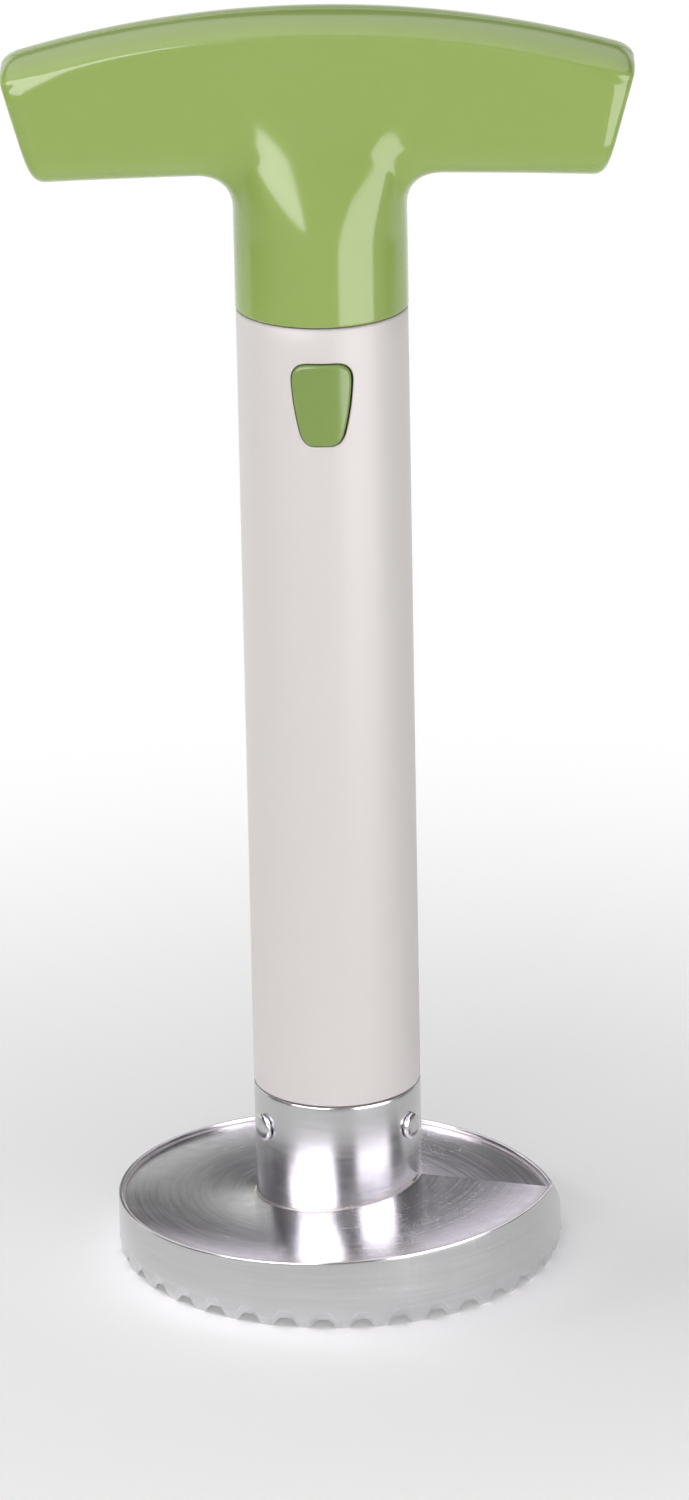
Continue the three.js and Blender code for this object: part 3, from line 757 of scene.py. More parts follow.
def bright_steel(name, roughness, spots):
    """Small turned and drawn steel parts, with cloudy gloss, a trace of scratches and worn edges lightened
    partly as a painted highlight.
    """
    material, place, edge = new_material(name)
    skin = effect(SKIN, place, {
        "Color": STEEL_COLOR, "Roughness": roughness, "Cloud Size": spots, "Cloud Amount": 0.3,
        "Wave Size": 0.0008, "Grain Size": 0.0002, "Grain Share": 0.5, "Roughness Spread": 0.2,
    })
    # Worn edges lighter, partly as a painted highlight
    worn_and_highlit = worn_and_highlit_mask(place, edge, 0.7, patch=0.001)
    marks = scratch_mask(place, spacing=0.0015, amount=0.5).at_least(worn_and_highlit)
    shade = mixed_color(marks, skin["Color"], BRIGHT_EDGE)
    return finish_surface(material, shade, skin["Roughness"], skin["Height"], depth=0.002, even=METAL)


def weld_steel(name):
    """Weld bead: fine ripples along it, from silver to straw."""
    material, place, edge = new_material(name)
    x, y, _ = axes(place).values()
    ripples_per_turn, wander = 240.0, 4.0
    ripple = maths("SINE", maths("ARCTAN2", y, x) * ripples_per_turn + noise(place, 400.0, 2.0) * wander)
    skin = effect(SKIN, place, {
        "Color": STEEL_COLOR, "Roughness": 0.32, "Cloud Size": 0.004, "Cloud Amount": 0.5,
        "Roughness Spread": 0.3,
    })
    stain = ramp(noise(place, 120.0, 3.0), 0.4, 0.7, 0.0, 0.7)
    shade = mixed_color(stain, skin["Color"], STRAW_COLOR)
    # Worn edges of the bead lightened, partly as a painted highlight
    shade = mixed_color(worn_and_highlit_mask(place, edge, 0.3), shade, WELD_EDGE)
    return finish_surface(material, shade, skin["Roughness"], ripple, depth=0.015, even=METAL)


# Meshes
def mesh_of(name, points, faces):
    mesh = bpy.data.meshes.new(name)
    mesh.from_pydata((np.asarray(points, float) * MM).tolist(), [], [tuple(map(int, f)) for f in faces])
    mesh.validate()
    return mesh


def evaluated_mesh(holder):
    bpy.context.view_layer.update()
    graph = bpy.context.evaluated_depsgraph_get()
    return bpy.data.meshes.new_from_object(holder.evaluated_get(graph))


def cut(mesh, *steps):
    """The solid after boolean steps, each a pair of operation and mesh."""
    holder = loose_object("cut_holder", mesh)
    tools = []
    for operation, tool_mesh in steps:
        tool = loose_object("cut_tool", tool_mesh)
        tools.append(tool)
        modifier = holder.modifiers.new("cut", "BOOLEAN")
        modifier.operation = operation
        modifier.object = tool
        modifier.solver = "MANIFOLD"
    made = evaluated_mesh(holder)
    for thing in [holder, *tools]:
        bpy.data.objects.remove(thing)
    return made


def joined(name, *meshes):
    """Several meshes as one."""
    made = bmesh.new()
    for mesh in meshes:
        made.from_mesh(mesh)
    mesh = bpy.data.meshes.new(name)
    made.to_mesh(mesh)
    made.free()
    return mesh


def turned(profile, sides, close=True):
    """Points and faces of a body of revolution about Z from (radius, height) pairs, up the outside first."""
    angles = np.arange(sides) * 2 * math.pi / sides
    profile = np.asarray(profile, float)
    points, rows = [], []
    for radius, height in profile:
        if radius < 1e-9:
            rows.append([len(points)] * sides)
            points.append((0, 0, height))
        else:
            rows.append(list(range(len(points), len(points) + sides)))
            points += [(radius * math.cos(a), radius * math.sin(a), height) for a in angles]
    faces = []
    for i in range(len(rows) if close else len(rows) - 1):
        low, high = rows[i], rows[(i + 1) % len(rows)]
        for j in range(sides):
            k = (j + 1) % sides
            face = [low[j], low[k], high[k], high[j]]
            face = [v for n, v in enumerate(face) if v != face[n - 1]]
            if len(set(face)) >= 3:
                faces.append(face)
    return np.asarray(points, float), faces


def lofted(rings, close_ends=True):
    """Points and faces of a skin over rings of equal count."""
    count = len(rings[0])
    points = np.concatenate([np.asarray(r, float) for r in rings])
    faces = []
    for i in range(len(rings) - 1):
        for j in range(count):
            k = (j + 1) % count
            faces.append((i * count + j, i * count + k, (i + 1) * count + k, (i + 1) * count + j))
    if close_ends:
        faces.append(tuple(reversed(range(count))))
        faces.append(tuple(range((len(rings) - 1) * count, len(rings) * count)))
    return points, faces


def block(low, high):
    (x0, y0, z0), (x1, y1, z1) = low, high
    ring = [(x0, y0), (x1, y0), (x1, y1), (x0, y1)]
    return mesh_of("block", *lofted([[(x, y, z0) for x, y in ring], [(x, y, z1) for x, y in ring]]))


def rod(radius, start, end, sides=BOSS_SIDES):
    """Round rod between two points."""
    start, end = Vector(start), Vector(end)
    length = (end - start).length
    points, faces = turned([(0, 0), (radius, 0), (radius, length), (0, length)], sides, False)
    turn = (end - start).to_track_quat("Z", "Y").to_matrix()
    return mesh_of("rod", [turn @ Vector(p) + start for p in points], faces)


def along_y(profile, x, z, sides, close=True):
    """A body of revolution about a line along Y through (x, z) from (radius, y) pairs."""
    points, faces = turned(profile, sides, close)
    placed = [(px + x, pz, -py + z) for px, py, pz in points]
    return mesh_of("along_y", placed, faces)


def mark_edges(mesh):
    """How sharply the faces turn at each outward edge, kept at its points, from 0 to 1."""
    work = bmesh.new()
    work.from_mesh(mesh)
    sharp = np.zeros(len(work.verts), np.float32)
    full = math.radians(FULL_EDGE_ANGLE)
    for edge in work.edges:
        if len(edge.link_faces) == 2 and edge.is_convex:
            turn = min(edge.calc_face_angle(0) / full, 1)
            for vert in edge.verts:
                sharp[vert.index] = max(sharp[vert.index], turn)
    work.free()
    attribute = mesh.attributes.new("edge", "FLOAT", "POINT")
    attribute.data.foreach_set("value", sharp)


def dress(name, mesh, material, slot, body, *nodes):
    """A finished piece: shaded, on its body, and in place of its CAD nodes."""
    mesh.name = name
    mesh.materials.clear()
    mesh.materials.append(material)
    mark_edges(mesh)
    mesh.shade_smooth()
    mesh.set_sharp_from_angle(angle=math.radians(CREASE_ANGLE))
    piece = loose_object(name, mesh)
    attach(piece, body)
    if nodes:
        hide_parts(*nodes)
    return piece


def smooth_step(value, low, high):
    share = np.clip((value - low) / (high - low), 0, 1)
    return share * share * (3 - 2 * share)


# Grip
def rounded_meet(a, b, reach_a, reach_b):
    """Distance to a solid where two faces meet, with the edge rounded over by a reach on each."""
    a, b = np.maximum(a + reach_a, 0), np.maximum(b + reach_b, 0)
    size = np.hypot(a / reach_a, b / reach_b)
    slope = np.hypot(a / reach_a**2, b / reach_b**2)
    return np.where(size > 1e-6, (size - 1) * size / np.maximum(slope, 1e-9), -np.minimum(reach_a, reach_b))


def bar_distance(x, y, z):
    """Distance to the bar: low brow and soft corners at the front, round edges elsewhere, leaning ends."""
    crown = np.hypot(x, z - CROWN_Z + CROWN_RADIUS) - CROWN_RADIUS
    under = UNDERSIDE_RADIUS - np.hypot(x, z - UNDERSIDE_Z + UNDERSIDE_RADIUS)
    side = np.abs(y) - GRIP_HALF_DEPTH
    corner = crown + GRIP_BROW_DROP + SOFT_CORNER_LEAN * (np.abs(x) - SOFT_CORNER_X)
    soft = np.clip(corner, 0, GRIP_BROW_DROP)
    front = rounded_meet(crown, side + soft**2 / (2 * SOFT_CORNER_R), GRIP_BROW_DROP, GRIP_HALF_DEPTH)
    rear = rounded_meet(crown, side, GRIP_EDGE_ROUND, GRIP_EDGE_ROUND)
    lower = rounded_meet(under, side, GRIP_EDGE_ROUND, GRIP_EDGE_ROUND)
    section = np.maximum(np.where(y < 0, front, rear), lower)
    head_z = CROWN_Z - CROWN_RADIUS + math.sqrt(CROWN_RADIUS**2 - GRIP_HEAD_REACH**2)
    rise = head_z - UNDERSIDE_Z
    lean = math.hypot(GRIP_END_LEAN, rise)
    end = ((np.abs(x) - GRIP_HEAD_REACH) * rise - (z - head_z) * GRIP_END_LEAN) / lean
    near_head = smooth_step(z, head_z - HEAD_END_FADE, head_z)
    end_round = GRIP_END_ROUND + (HEAD_END_ROUND - GRIP_END_ROUND) * near_head
    return rounded_meet(section, end, GRIP_END_ROUND, end_round)


def neck_distance(x, y, z):
    """Distance to the neck: round at the seam, then ever flatter, squarer and a little wider."""
    share = smooth_step(z, NECK_BLEND_Z, NECK_BLEND_Z + NECK_BLEND_HEIGHT)
    widening = smooth_step(z, NECK_WIDENING_Z, NECK_WIDENING_Z + NECK_WIDENING_HEIGHT)
    half_depth = NECK_R - NECK_THINNING * share
    half_width = NECK_R + NECK_WIDENING * widening
    power = 2 + NECK_SQUARING * share
    u, v = np.abs(x) / half_width, np.abs(y) / half_depth
    level = np.maximum(u**power + v**power, 1e-6)
    slope = level ** (1 / power - 1) * np.hypot(u ** (power - 1) / half_width, v ** (power - 1) / half_depth)
    return np.maximum((level ** (1 / power) - 1) / np.maximum(slope, 0.03), z - NECK_TOP_Z)


def grip_distance(x, y, z):
    """Distance to the whole grip: bar and neck, with a wider fillet beside the neck than before it."""
    bar, neck = bar_distance(x, y, z), neck_distance(x, y, z)
    outward = smooth_step(np.abs(x) / NECK_R, *FILLET_TURN)
    beside = outward * (1 - smooth_step(np.abs(y), SIDE_FILLET_Y, FRONT_FILLET_Y))
    reach = FRONT_FILLET + (SIDE_FILLET - FRONT_FILLET) * beside
    near = np.maximum(reach - np.abs(bar - neck), 0) / reach
    return np.minimum(bar, neck) - near * near * reach / 4


def slope_of(distance, points):
    """Distance and its gradient at each point."""
    small = 0.01
    here = distance(*points.T)
    slope = np.empty_like(points)
    for axis in range(3):
        step = np.zeros(3)
        step[axis] = small
        slope[:, axis] = (distance(*(points + step).T) - distance(*(points - step).T)) / (2 * small)
    return here, slope


def skin_of(distance, xs, ys, zs):
    """Quads over the zero surface of a distance on a grid, with each point's cell."""
    d = distance(*np.meshgrid(xs, ys, zs, indexing="ij"))
    cells = np.array(d.shape) - 1
    total, count = np.zeros((*cells, 3)), np.zeros(cells)
    crossings = []
    for axis in range(3):
        low = d[tuple(slice(None, -1) if a == axis else slice(None) for a in range(3))]
        high = d[tuple(slice(1, None) if a == axis else slice(None) for a in range(3))]
        crossed = (low < 0) != (high < 0)
        start = np.argwhere(crossed)
        place = start.astype(float)
        place[:, axis] += (low[crossed] / (low[crossed] - high[crossed]))
        u, v = (axis + 1) % 3, (axis + 2) % 3
        around = []
        for du, dv in ((-1, -1), (0, -1), (0, 0), (-1, 0)):
            cell = start.copy()
            cell[:, u] += du
            cell[:, v] += dv
            around.append(cell)
            ok = np.all((cell >= 0) & (cell < cells), axis=1)
            np.add.at(total, tuple(cell[ok].T), place[ok])
            np.add.at(count, tuple(cell[ok].T), 1)
        crossings.append((around, low[crossed] < 0))
    used = count > 0
    index = np.full(cells, -1)
    index[used] = np.arange(used.sum())
    grid = total[used] / count[used][:, None]
    steps = np.array([xs[1] - xs[0], ys[1] - ys[0], zs[1] - zs[0]])
    points = np.array([xs[0], ys[0], zs[0]]) + grid * steps
    quads = []
    for around, leaving in crossings:
        ok = np.all([np.all((c >= 0) & (c < cells), axis=1) for c in around], axis=0)
        quad = np.stack([index[tuple(c[ok].T)] for c in around], axis=1)
        facing = leaving[ok]
        quads.append(np.where(facing[:, None], quad, quad[:, ::-1]))
    return points, np.concatenate(quads), np.argwhere(used)


def grip_skin():
    """The grip's outside relaxed onto its surface, with rows of points on the parting plane and mouth."""
    columns = 2 * math.ceil((GRIP_HEAD_REACH + SKIN_MARGIN_X) / SKIN_STEP)
    rows = 2 * math.ceil((NECK_R + SKIN_MARGIN_Y) / SKIN_STEP)
    levels = math.ceil((CROWN_Z + SKIN_MARGIN_Z - MOUTH_Z) / SKIN_STEP) + 3
    xs = (np.arange(columns) - columns / 2 + 0.5) * SKIN_STEP
    ys = (np.arange(rows) - rows / 2 + 0.5) * SKIN_STEP
    zs = MOUTH_Z + (np.arange(levels) - 1.5) * SKIN_STEP
    points, quads, cell = skin_of(grip_distance, xs, ys, zs)
    on_parting = cell[:, 1] == rows // 2 - 1
    on_mouth = cell[:, 2] == 1
    free = np.ones_like(points)
    free[on_parting, 1] = 0
    free[cell[:, 2] <= 1, 2] = 0
    points[on_parting, 1] = 0
    points[on_mouth, 2] = MOUTH_Z
    sides = np.concatenate([quads[:, [i, (i + 1) % 4]] for i in range(4)])
    for _ in range(RELAX_ROUNDS):
        total, count = np.zeros_like(points), np.zeros(len(points))
        for near, far in ((0, 1), (1, 0)):
            np.add.at(total, sides[:, near], points[sides[:, far]])
            np.add.at(count, sides[:, near], 1)
        points += 0.5 * (total / count[:, None] - points) * free
        for _ in range(PULL_ROUNDS):
            here, slope = slope_of(grip_distance, points)
            slope *= free
            points -= here[:, None] * slope / np.maximum((slope**2).sum(1), 0.05)[:, None]
    keep = cell[:, 2] >= 1
    return points, quads[keep[quads].all(1)], np.sign(cell[:, 1] - (rows // 2 - 1)), on_mouth


def grip_shell(skin, side):
    """One half of the grip as a closed wall with softened lips at the parting and the mouth."""
    points, quads, half, on_mouth = skin
    keep = half * side >= 0
    quads = quads[keep[quads].all(1)]
    used = np.unique(quads)
    renumber = np.full(len(points), -1)
    renumber[used] = np.arange(len(used))
    quads = renumber[quads]
    base = points[used]
    parting, mouth = half[used] == 0, on_mouth[used]
    _, out = slope_of(grip_distance, base)
    out[parting, 1] = 0
    out[mouth, 2] = 0
    out /= np.linalg.norm(out, axis=1)[:, None]

    def layer(depth, from_parting, from_mouth):
        moved = base - depth * out
        moved[parting, 1] = side * (PARTING_GAP + from_parting)
        moved[mouth, 2] = MOUTH_Z + from_mouth
        return moved

    starts = np.concatenate([quads[:, i] for i in range(4)])
    ends = np.concatenate([quads[:, (i + 1) % 4] for i in range(4)])
    forward = set(zip(starts.tolist(), ends.tolist()))
    rim = [(a, b) for a, b in forward if (b, a) not in forward]
    rim_points = sorted({a for a, _ in rim})
    order = {p: i for i, p in enumerate(rim_points)}
    count, size = len(base), len(rim_points)
    lips = [layer(*row)[rim_points] for row in LIP_ROWS]
    rows = [lambda p: p]
    rows += [lambda p, k=k: 2 * count + k * size + order[p] for k in range(len(lips))]
    rows += [lambda p: count + p]
    faces = quads.tolist() + (quads[:, ::-1] + count).tolist()
    for near, far in zip(rows, rows[1:]):
        faces += [(near(b), near(a), far(a), far(b)) for a, b in rim]
    outer, inner = layer(*OUTER_LIP), layer(GRIP_WALL, 0, 0)
    return mesh_of("grip_shell", np.concatenate([outer, inner, *lips]), faces)


def grip_middle(x):
    crown = CROWN_Z - CROWN_RADIUS + math.sqrt(CROWN_RADIUS**2 - x * x)
    under = UNDERSIDE_Z - UNDERSIDE_RADIUS + math.sqrt(UNDERSIDE_RADIUS**2 - x * x)
    return (crown + under) / 2


def at_screws(profile, sides, close=True):
    return [along_y(profile, x, grip_middle(x), sides, close) for x in SCREW_XS]


def front_shell(skin):
    """Front half with a blind boss for each screw."""
    wall = GRIP_HALF_DEPTH - GRIP_WALL + BOSS_OVERLAP
    boss = [(SCREW_HOLE_R, -BOSS_FACE_Y), (SCREW_HOLE_R, -SCREW_HOLE_END_Y), (0, -SCREW_HOLE_END_Y - 0.2),
            (0, -wall), (BOSS_R, -wall), (BOSS_R, -BOSS_FACE_Y)]
    return joined("grip_front", grip_shell(skin, -1), *at_screws(boss, BOSS_SIDES))


def rear_shell(skin):
    """Rear half with a pocket and a hollow boss for each screw."""
    face, floor = GRIP_HALF_DEPTH, POCKET_FLOOR_Y
    wall = face - GRIP_WALL + BOSS_OVERLAP
    pocket = [(0, floor), (POCKET_R, floor), (POCKET_R, face - 0.2), (POCKET_R + 0.06, face - 0.06),
              (POCKET_R + 0.2, face + 0.01), (POCKET_R + 0.2, face + 2), (0, face + 2)]
    boss = [(SCREW_HOLE_R, BOSS_FACE_Y), (BOSS_R, BOSS_FACE_Y), (BOSS_R, wall), (POCKET_R, wall),
            (POCKET_R, HEAD_SEAT_Y), (SCREW_HOLE_R, HEAD_SEAT_Y)]
    pockets = at_screws(pocket, POCKET_SIDES, False)
    shell = cut(grip_shell(skin, 1), *[("DIFFERENCE", tool) for tool in pockets])
    return joined("grip_rear", shell, *at_screws(boss, POCKET_SIDES))


# Button and its window
def bent(start, corner, end, steps):
    """Points along a curve that leaves and arrives towards its corner."""
    start, corner, end = np.array(start), np.array(corner), np.array(end)
    t = np.linspace(0, 1, steps + 1)[:, None]
    return (1 - t) ** 2 * start + 2 * t * (1 - t) * corner + t * t * end


def button_outline(grow):
    """The button's outline as (x, z) round its middle, counter-clockwise from the foot of its right side."""
    half = BUTTON_HEIGHT / 2 + grow
    head_round = max(BUTTON_HEAD_ROUND + grow, BUTTON_LEAST_ROUND)
    foot_round = max(BUTTON_FOOT_ROUND + grow, BUTTON_LEAST_ROUND)
    head = np.array((BUTTON_HEAD_WIDTH / 2 + grow, half - head_round))
    foot = np.array((BUTTON_FOOT_WIDTH / 2 + grow, foot_round - half))
    bow = (head + foot) / 2 + (2 * BUTTON_SIDE_BOW, 0)
    corner = foot[0] - foot_round * (bow[0] - foot[0]) / (bow[1] - foot[1])
    flat = min(BUTTON_FOOT_FLAT / 2, corner - 0.1)
    right = np.concatenate([
        bent((flat, -half), (corner, -half), foot, CORNER_STEPS),
        bent(foot, bow, head, SIDE_STEPS)[1:],
        bent(head, (head[0], half), (head[0] - head_round, half), CORNER_STEPS)[1:],
    ])
    left = right[::-1] * (-1, 1)
    shares = np.linspace(0, 1, BUTTON_COLUMNS + 1)[1:-1, None]
    top = right[-1] + (left[0] - right[-1]) * shares
    foot = left[-1] + (right[0] - left[-1]) * shares
    return np.concatenate([right, top, left, foot])


def button_ring(grow, y):
    """The outline as a ring at a depth, or on a cylinder where the depth is a function of x."""
    loop = button_outline(grow)
    depth = y(loop[:, 0]) if callable(y) else np.full(len(loop), y)
    return np.column_stack([loop[:, 0], depth, BUTTON_Z + loop[:, 1]])


def on_cylinder(radius, inside=0.0):
    return lambda x: -np.sqrt(radius**2 - x**2) + inside


def rounded_rings(radius, start, grow_by, edge, angles):
    """Rings of the button's outline round a quarter turn of an edge on a cylinder."""
    rings = []
    for angle in angles:
        grow, inside = edge * (1 - math.cos(angle)), edge * (1 - math.sin(angle))
        rings.append(button_ring(start + grow_by * grow, on_cylinder(radius, inside)))
    return rings


def face_rows(ring, first, points):
    """Rows of point numbers across the button's face from foot to head, with new points inside its sides."""
    count = len(ring)
    side = count // 2 - BUTTON_COLUMNS + 1
    columns = range(1, BUTTON_COLUMNS)
    rows = []
    for i in range(side):
        right, left = i, count - BUTTON_COLUMNS - i
        if i == 0:
            inner = [first + count - c for c in columns]
        elif i == side - 1:
            inner = [first + side - 1 + c for c in columns]
        else:
            inner = []
            for x in np.linspace(ring[right][0], ring[left][0], BUTTON_COLUMNS + 1)[1:-1]:
                inner.append(len(points))
                points.append((x, float(on_cylinder(BUTTON_FACE_R)(x)), ring[right][2]))
        rows.append([first + right, *inner, first + left])
    return rows


def button_mesh():
    """Crowned face with a rounded edge, flange behind the shaft's wall, and a post for the spring."""
    edge_angles = np.linspace(0, math.pi / 2, 7)
    rings = [button_ring(0, BUTTON_BACK_Y), *rounded_rings(BUTTON_FACE_R, 0, -1, BUTTON_EDGE, edge_angles)]
    rings += [button_ring(-inset, on_cylinder(BUTTON_FACE_R)) for inset in BUTTON_INSETS]
    points, faces = lofted(rings, False)
    count = len(rings[0])
    faces.append(tuple(reversed(range(count))))
    first, points = len(points) - count, points.tolist()
    rows = face_rows(rings[-1], first, points)
    for low, high in zip(rows, rows[1:]):
        faces += [(low[c], high[c], high[c + 1], low[c + 1]) for c in range(BUTTON_COLUMNS)]
    pad = mesh_of("pad", points, faces)
    half_height = BUTTON_HEIGHT / 2 + FLANGE_OVERLAP
    flange = block((-FLANGE_WIDTH / 2, -STEM_R, BUTTON_Z - half_height),
                   (FLANGE_WIDTH / 2, BUTTON_BACK_Y, BUTTON_Z + half_height))
    flange = cut(flange, ("INTERSECT", spigot_room(BUTTON_Z - FLANGE_ROOM, BUTTON_Z + FLANGE_ROOM)))
    button = cut(pad, ("UNION", flange), ("UNION", spring_post(BUTTON_BACK_Y)))
    button.transform(Matrix.Translation((PAD_SHIFT * MM, 0, 0)))
    return button


def spigot_room(low, high):
    """The room inside the spigot between two heights, less a gap."""
    return rod(STEM_BORE_R - GAP, (0, 0, low), (0, 0, high), SHAFT_SIDES)


def spring_post(y):
    return rod(POST_R, (0, y - POST_LENGTH, BUTTON_Z), (0, y + POST_LENGTH, BUTTON_Z))


# Shaft
def shaft_mesh():
    """White tube with a softened window for the button, two keyways and a thinned foot."""
    step, top = SLEEVE_TOP_Z + GAP, SHAFT_TOP_Z
    foot_r = SLEEVE_BORE_R - GAP
    low_ease, ease = FOOT_STEP_EASE, SHAFT_TOP_EASE
    near_window = np.arange(BUTTON_Z - WINDOW_REACH, BUTTON_Z + WINDOW_REACH, WINDOW_ROW_STEP)
    below_window = np.linspace(step + 6, BUTTON_Z - WINDOW_REACH - 1, SHAFT_ROWS)
    outside = [(foot_r, SHAFT_FOOT_Z), (foot_r, step)]
    outside += [(SHAFT_R - low_ease, step), (SHAFT_R - 0.1, step + 0.1)]
    outside += [(SHAFT_R, z) for z in (step + low_ease, *below_window, *near_window, top - ease)]
    outside += [(SHAFT_R - 0.08, top - 0.08), (SHAFT_R - ease, top)]
    inside = [(BORE_R + ease, top), (BORE_R, top - ease), (BORE_R, SHAFT_FOOT_Z)]
    tube = mesh_of("tube", *turned(outside + inside, SHAFT_SIDES))
    rings = [button_ring(WINDOW_GAP, -BORE_R / 2)]
    rings += rounded_rings(SHAFT_R, WINDOW_GAP, 1, WINDOW_EDGE, np.linspace(0, math.pi / 2, 5))
    rings.append(button_ring(WINDOW_GAP + WINDOW_EDGE, on_cylinder(SHAFT_R, -3)))
    window = mesh_of("window", *lofted(rings))
    reach = BORE_R + KEY_HEIGHT
    ways = block((-reach, -KEYWAY_HALF_WIDTH, KEY_FOOT_Z - GAP), (reach, KEYWAY_HALF_WIDTH, SEAM_Z + 3))
    return cut(tube, ("DIFFERENCE", window), ("DIFFERENCE", ways))


# Stem inside the shaft
def pin_hole():
    reach = STEM_R + 3
    return rod(SEAT_PIN_R + GAP, (-reach, SEAT_PIN_Y, SEAT_PIN_Z), (reach, SEAT_PIN_Y, SEAT_PIN_Z))


def stem_mesh():
    """Spigot with two keys, closed by a lid that carries a web and the cross plate."""
    lid = STEM_TOP_Z - STEM_LID
    profile = [(STEM_BORE_R, STEM_FOOT_Z), (STEM_R - 0.4, STEM_FOOT_Z), (STEM_R, STEM_FOOT_Z + 0.4),
               (STEM_R, STEM_TOP_Z), (0, STEM_TOP_Z), (0, lid), (STEM_BORE_R, lid)]
    spigot = mesh_of("spigot", *turned(profile, SHAFT_SIDES))
    half, middle = PLATE_THICKNESS / 2, grip_middle(SCREW_XS[2])
    low, high = middle - PLATE_HEIGHT / 2, middle + PLATE_HEIGHT / 2
    web = block((-WEB_HALF_WIDTH, -half, STEM_TOP_Z - STEM_LID / 2), (WEB_HALF_WIDTH, half, middle))
    plate = block((-PLATE_HALF_WIDTH, -half, low), (PLATE_HALF_WIDTH, half, high))
    steps = [("UNION", web), ("UNION", plate)]
    for side in (-1, 1):
        ends = sorted((side * (STEM_R - 1), side * (BORE_R + KEY_HEIGHT - GAP)))
        key = block((ends[0], -KEY_WIDTH / 2, KEY_FOOT_Z), (ends[1], KEY_WIDTH / 2, SEAM_Z - GAP))
        steps.append(("UNION", key))
    for x in SCREW_XS[1:3]:
        steps.append(("DIFFERENCE", rod(BOSS_R + GAP, (x, -20, grip_middle(x)), (x, 20, grip_middle(x)))))
    button_hole = lofted([button_ring(GAP, -STEM_BORE_R / 2), button_ring(GAP, -SHAFT_R - 3)])
    steps += [("DIFFERENCE", mesh_of("button_hole", *button_hole)), ("DIFFERENCE", pin_hole())]
    return cut(spigot, *steps)


def end_cap_mesh():
    """Shallow domed-edge cap with a skirt inside the spigot."""
    top, skirt = STEM_FOOT_Z - GAP, STEM_BORE_R - GAP
    foot, head, inner = top - CAP_THICKNESS, top + CAP_SKIRT_HEIGHT, skirt - CAP_SKIRT_WALL
    return mesh_of("end_cap", *turned([
        (0, foot), (STEM_R - 0.7, foot), (STEM_R - 0.2, top - 1.4), (STEM_R, top - 0.9), (STEM_R, top),
        (skirt, top), (skirt, top + 3.7), (skirt - 0.3, head), (inner, head), (inner, top), (0, top),
    ], SHAFT_SIDES, False))


def spring_seat_mesh():
    """Plate across the spigot with a rib behind it for the pin and a post for the spring."""
    low, high = BUTTON_Z - SEAT_HEIGHT / 2, BUTTON_Z + SEAT_HEIGHT / 2
    plate = block((-STEM_R, SEAT_FACE_Y, low), (STEM_R, SEAT_FACE_Y + SEAT_THICKNESS, high))
    rib = block((-SEAT_RIB_WIDTH / 2, SEAT_PIN_Y, low), (SEAT_RIB_WIDTH / 2, STEM_R, high))
    room, post = spigot_room(low - 3, high + 3), spring_post(SEAT_FACE_Y)
    return cut(plate, ("UNION", rib), ("INTERSECT", room), ("DIFFERENCE", pin_hole()), ("UNION", post))


def seat_pin_mesh():
    """Pin with both ends eased."""
    half = math.sqrt(STEM_R**2 - SEAT_PIN_Y**2) - GAP
    radius, eased, ease = SEAT_PIN_R, SEAT_PIN_R - SEAT_PIN_EASE, SEAT_PIN_EASE
    points, faces = turned([
        (0, -half), (eased, -half), (radius, -half + ease), (radius, half - ease), (eased, half), (0, half),
    ], BOSS_SIDES, False)
    return mesh_of("pin", [(z, y + SEAT_PIN_Y, -x + SEAT_PIN_Z) for x, y, z in points], faces)


# Geometry node trees
def geometry_tree(name, inputs):
    """A tree that takes a geometry, its sizes and a material, and puts out a geometry."""
    inputs = {"Geometry": "Geometry", **inputs, "Material": "Material"}
    return node_group(name, "GeometryNodeTree", inputs, {"Geometry": "Geometry"})


def end_tree(tree, geometry, material):
    """Every tree ends in real geometry with its material."""
    real = flow(tree, "GeometryNodeRealizeInstances", {"Geometry": geometry})
    dressed = flow(tree, "GeometryNodeSetMaterial", {"Geometry": real, "Material": material})
    return end_group(tree, Geometry=dressed)


def grown(name, mesh, tree, material, values):
    """The tree's result on a mesh, as a plain mesh."""
    holder = loose_object(name, mesh)
    modifier = holder.modifiers.new("grown", "NODES")
    modifier.node_group = tree
    values = {**values, "Material": material}
    for item in tree.interface.items_tree:
        if item.item_type == "SOCKET" and item.in_out == "INPUT" and item.name in values:
            modifier[item.identifier] = values[item.name]
    made = evaluated_mesh(holder)
    bpy.data.objects.remove(holder)
    return made


def grown_from_seed(name, tree, material, values):
    """The result of a tree that makes its own shape and needs no mesh to start from."""
    return grown(name, mesh_of("seed", [(0, 0, 0)], []), tree, material, values)


def moved(tree, geometry, **change):
    """The geometry with its points moved by an Offset or to a Position."""
    return flow(tree, "GeometryNodeSetPosition", {"Geometry": geometry, **change})


def attribute(tree, name):
    kind = "GeometryNodeInputNamedAttribute"
    return flow(tree, kind, {"Name": name}, output="Attribute", data_type="FLOAT")


def swept(tree, curve, profile):
    return flow(tree, "GeometryNodeCurveToMesh", {
        "Curve": curve, "Profile Curve": profile, "Fill Caps": True,
    })


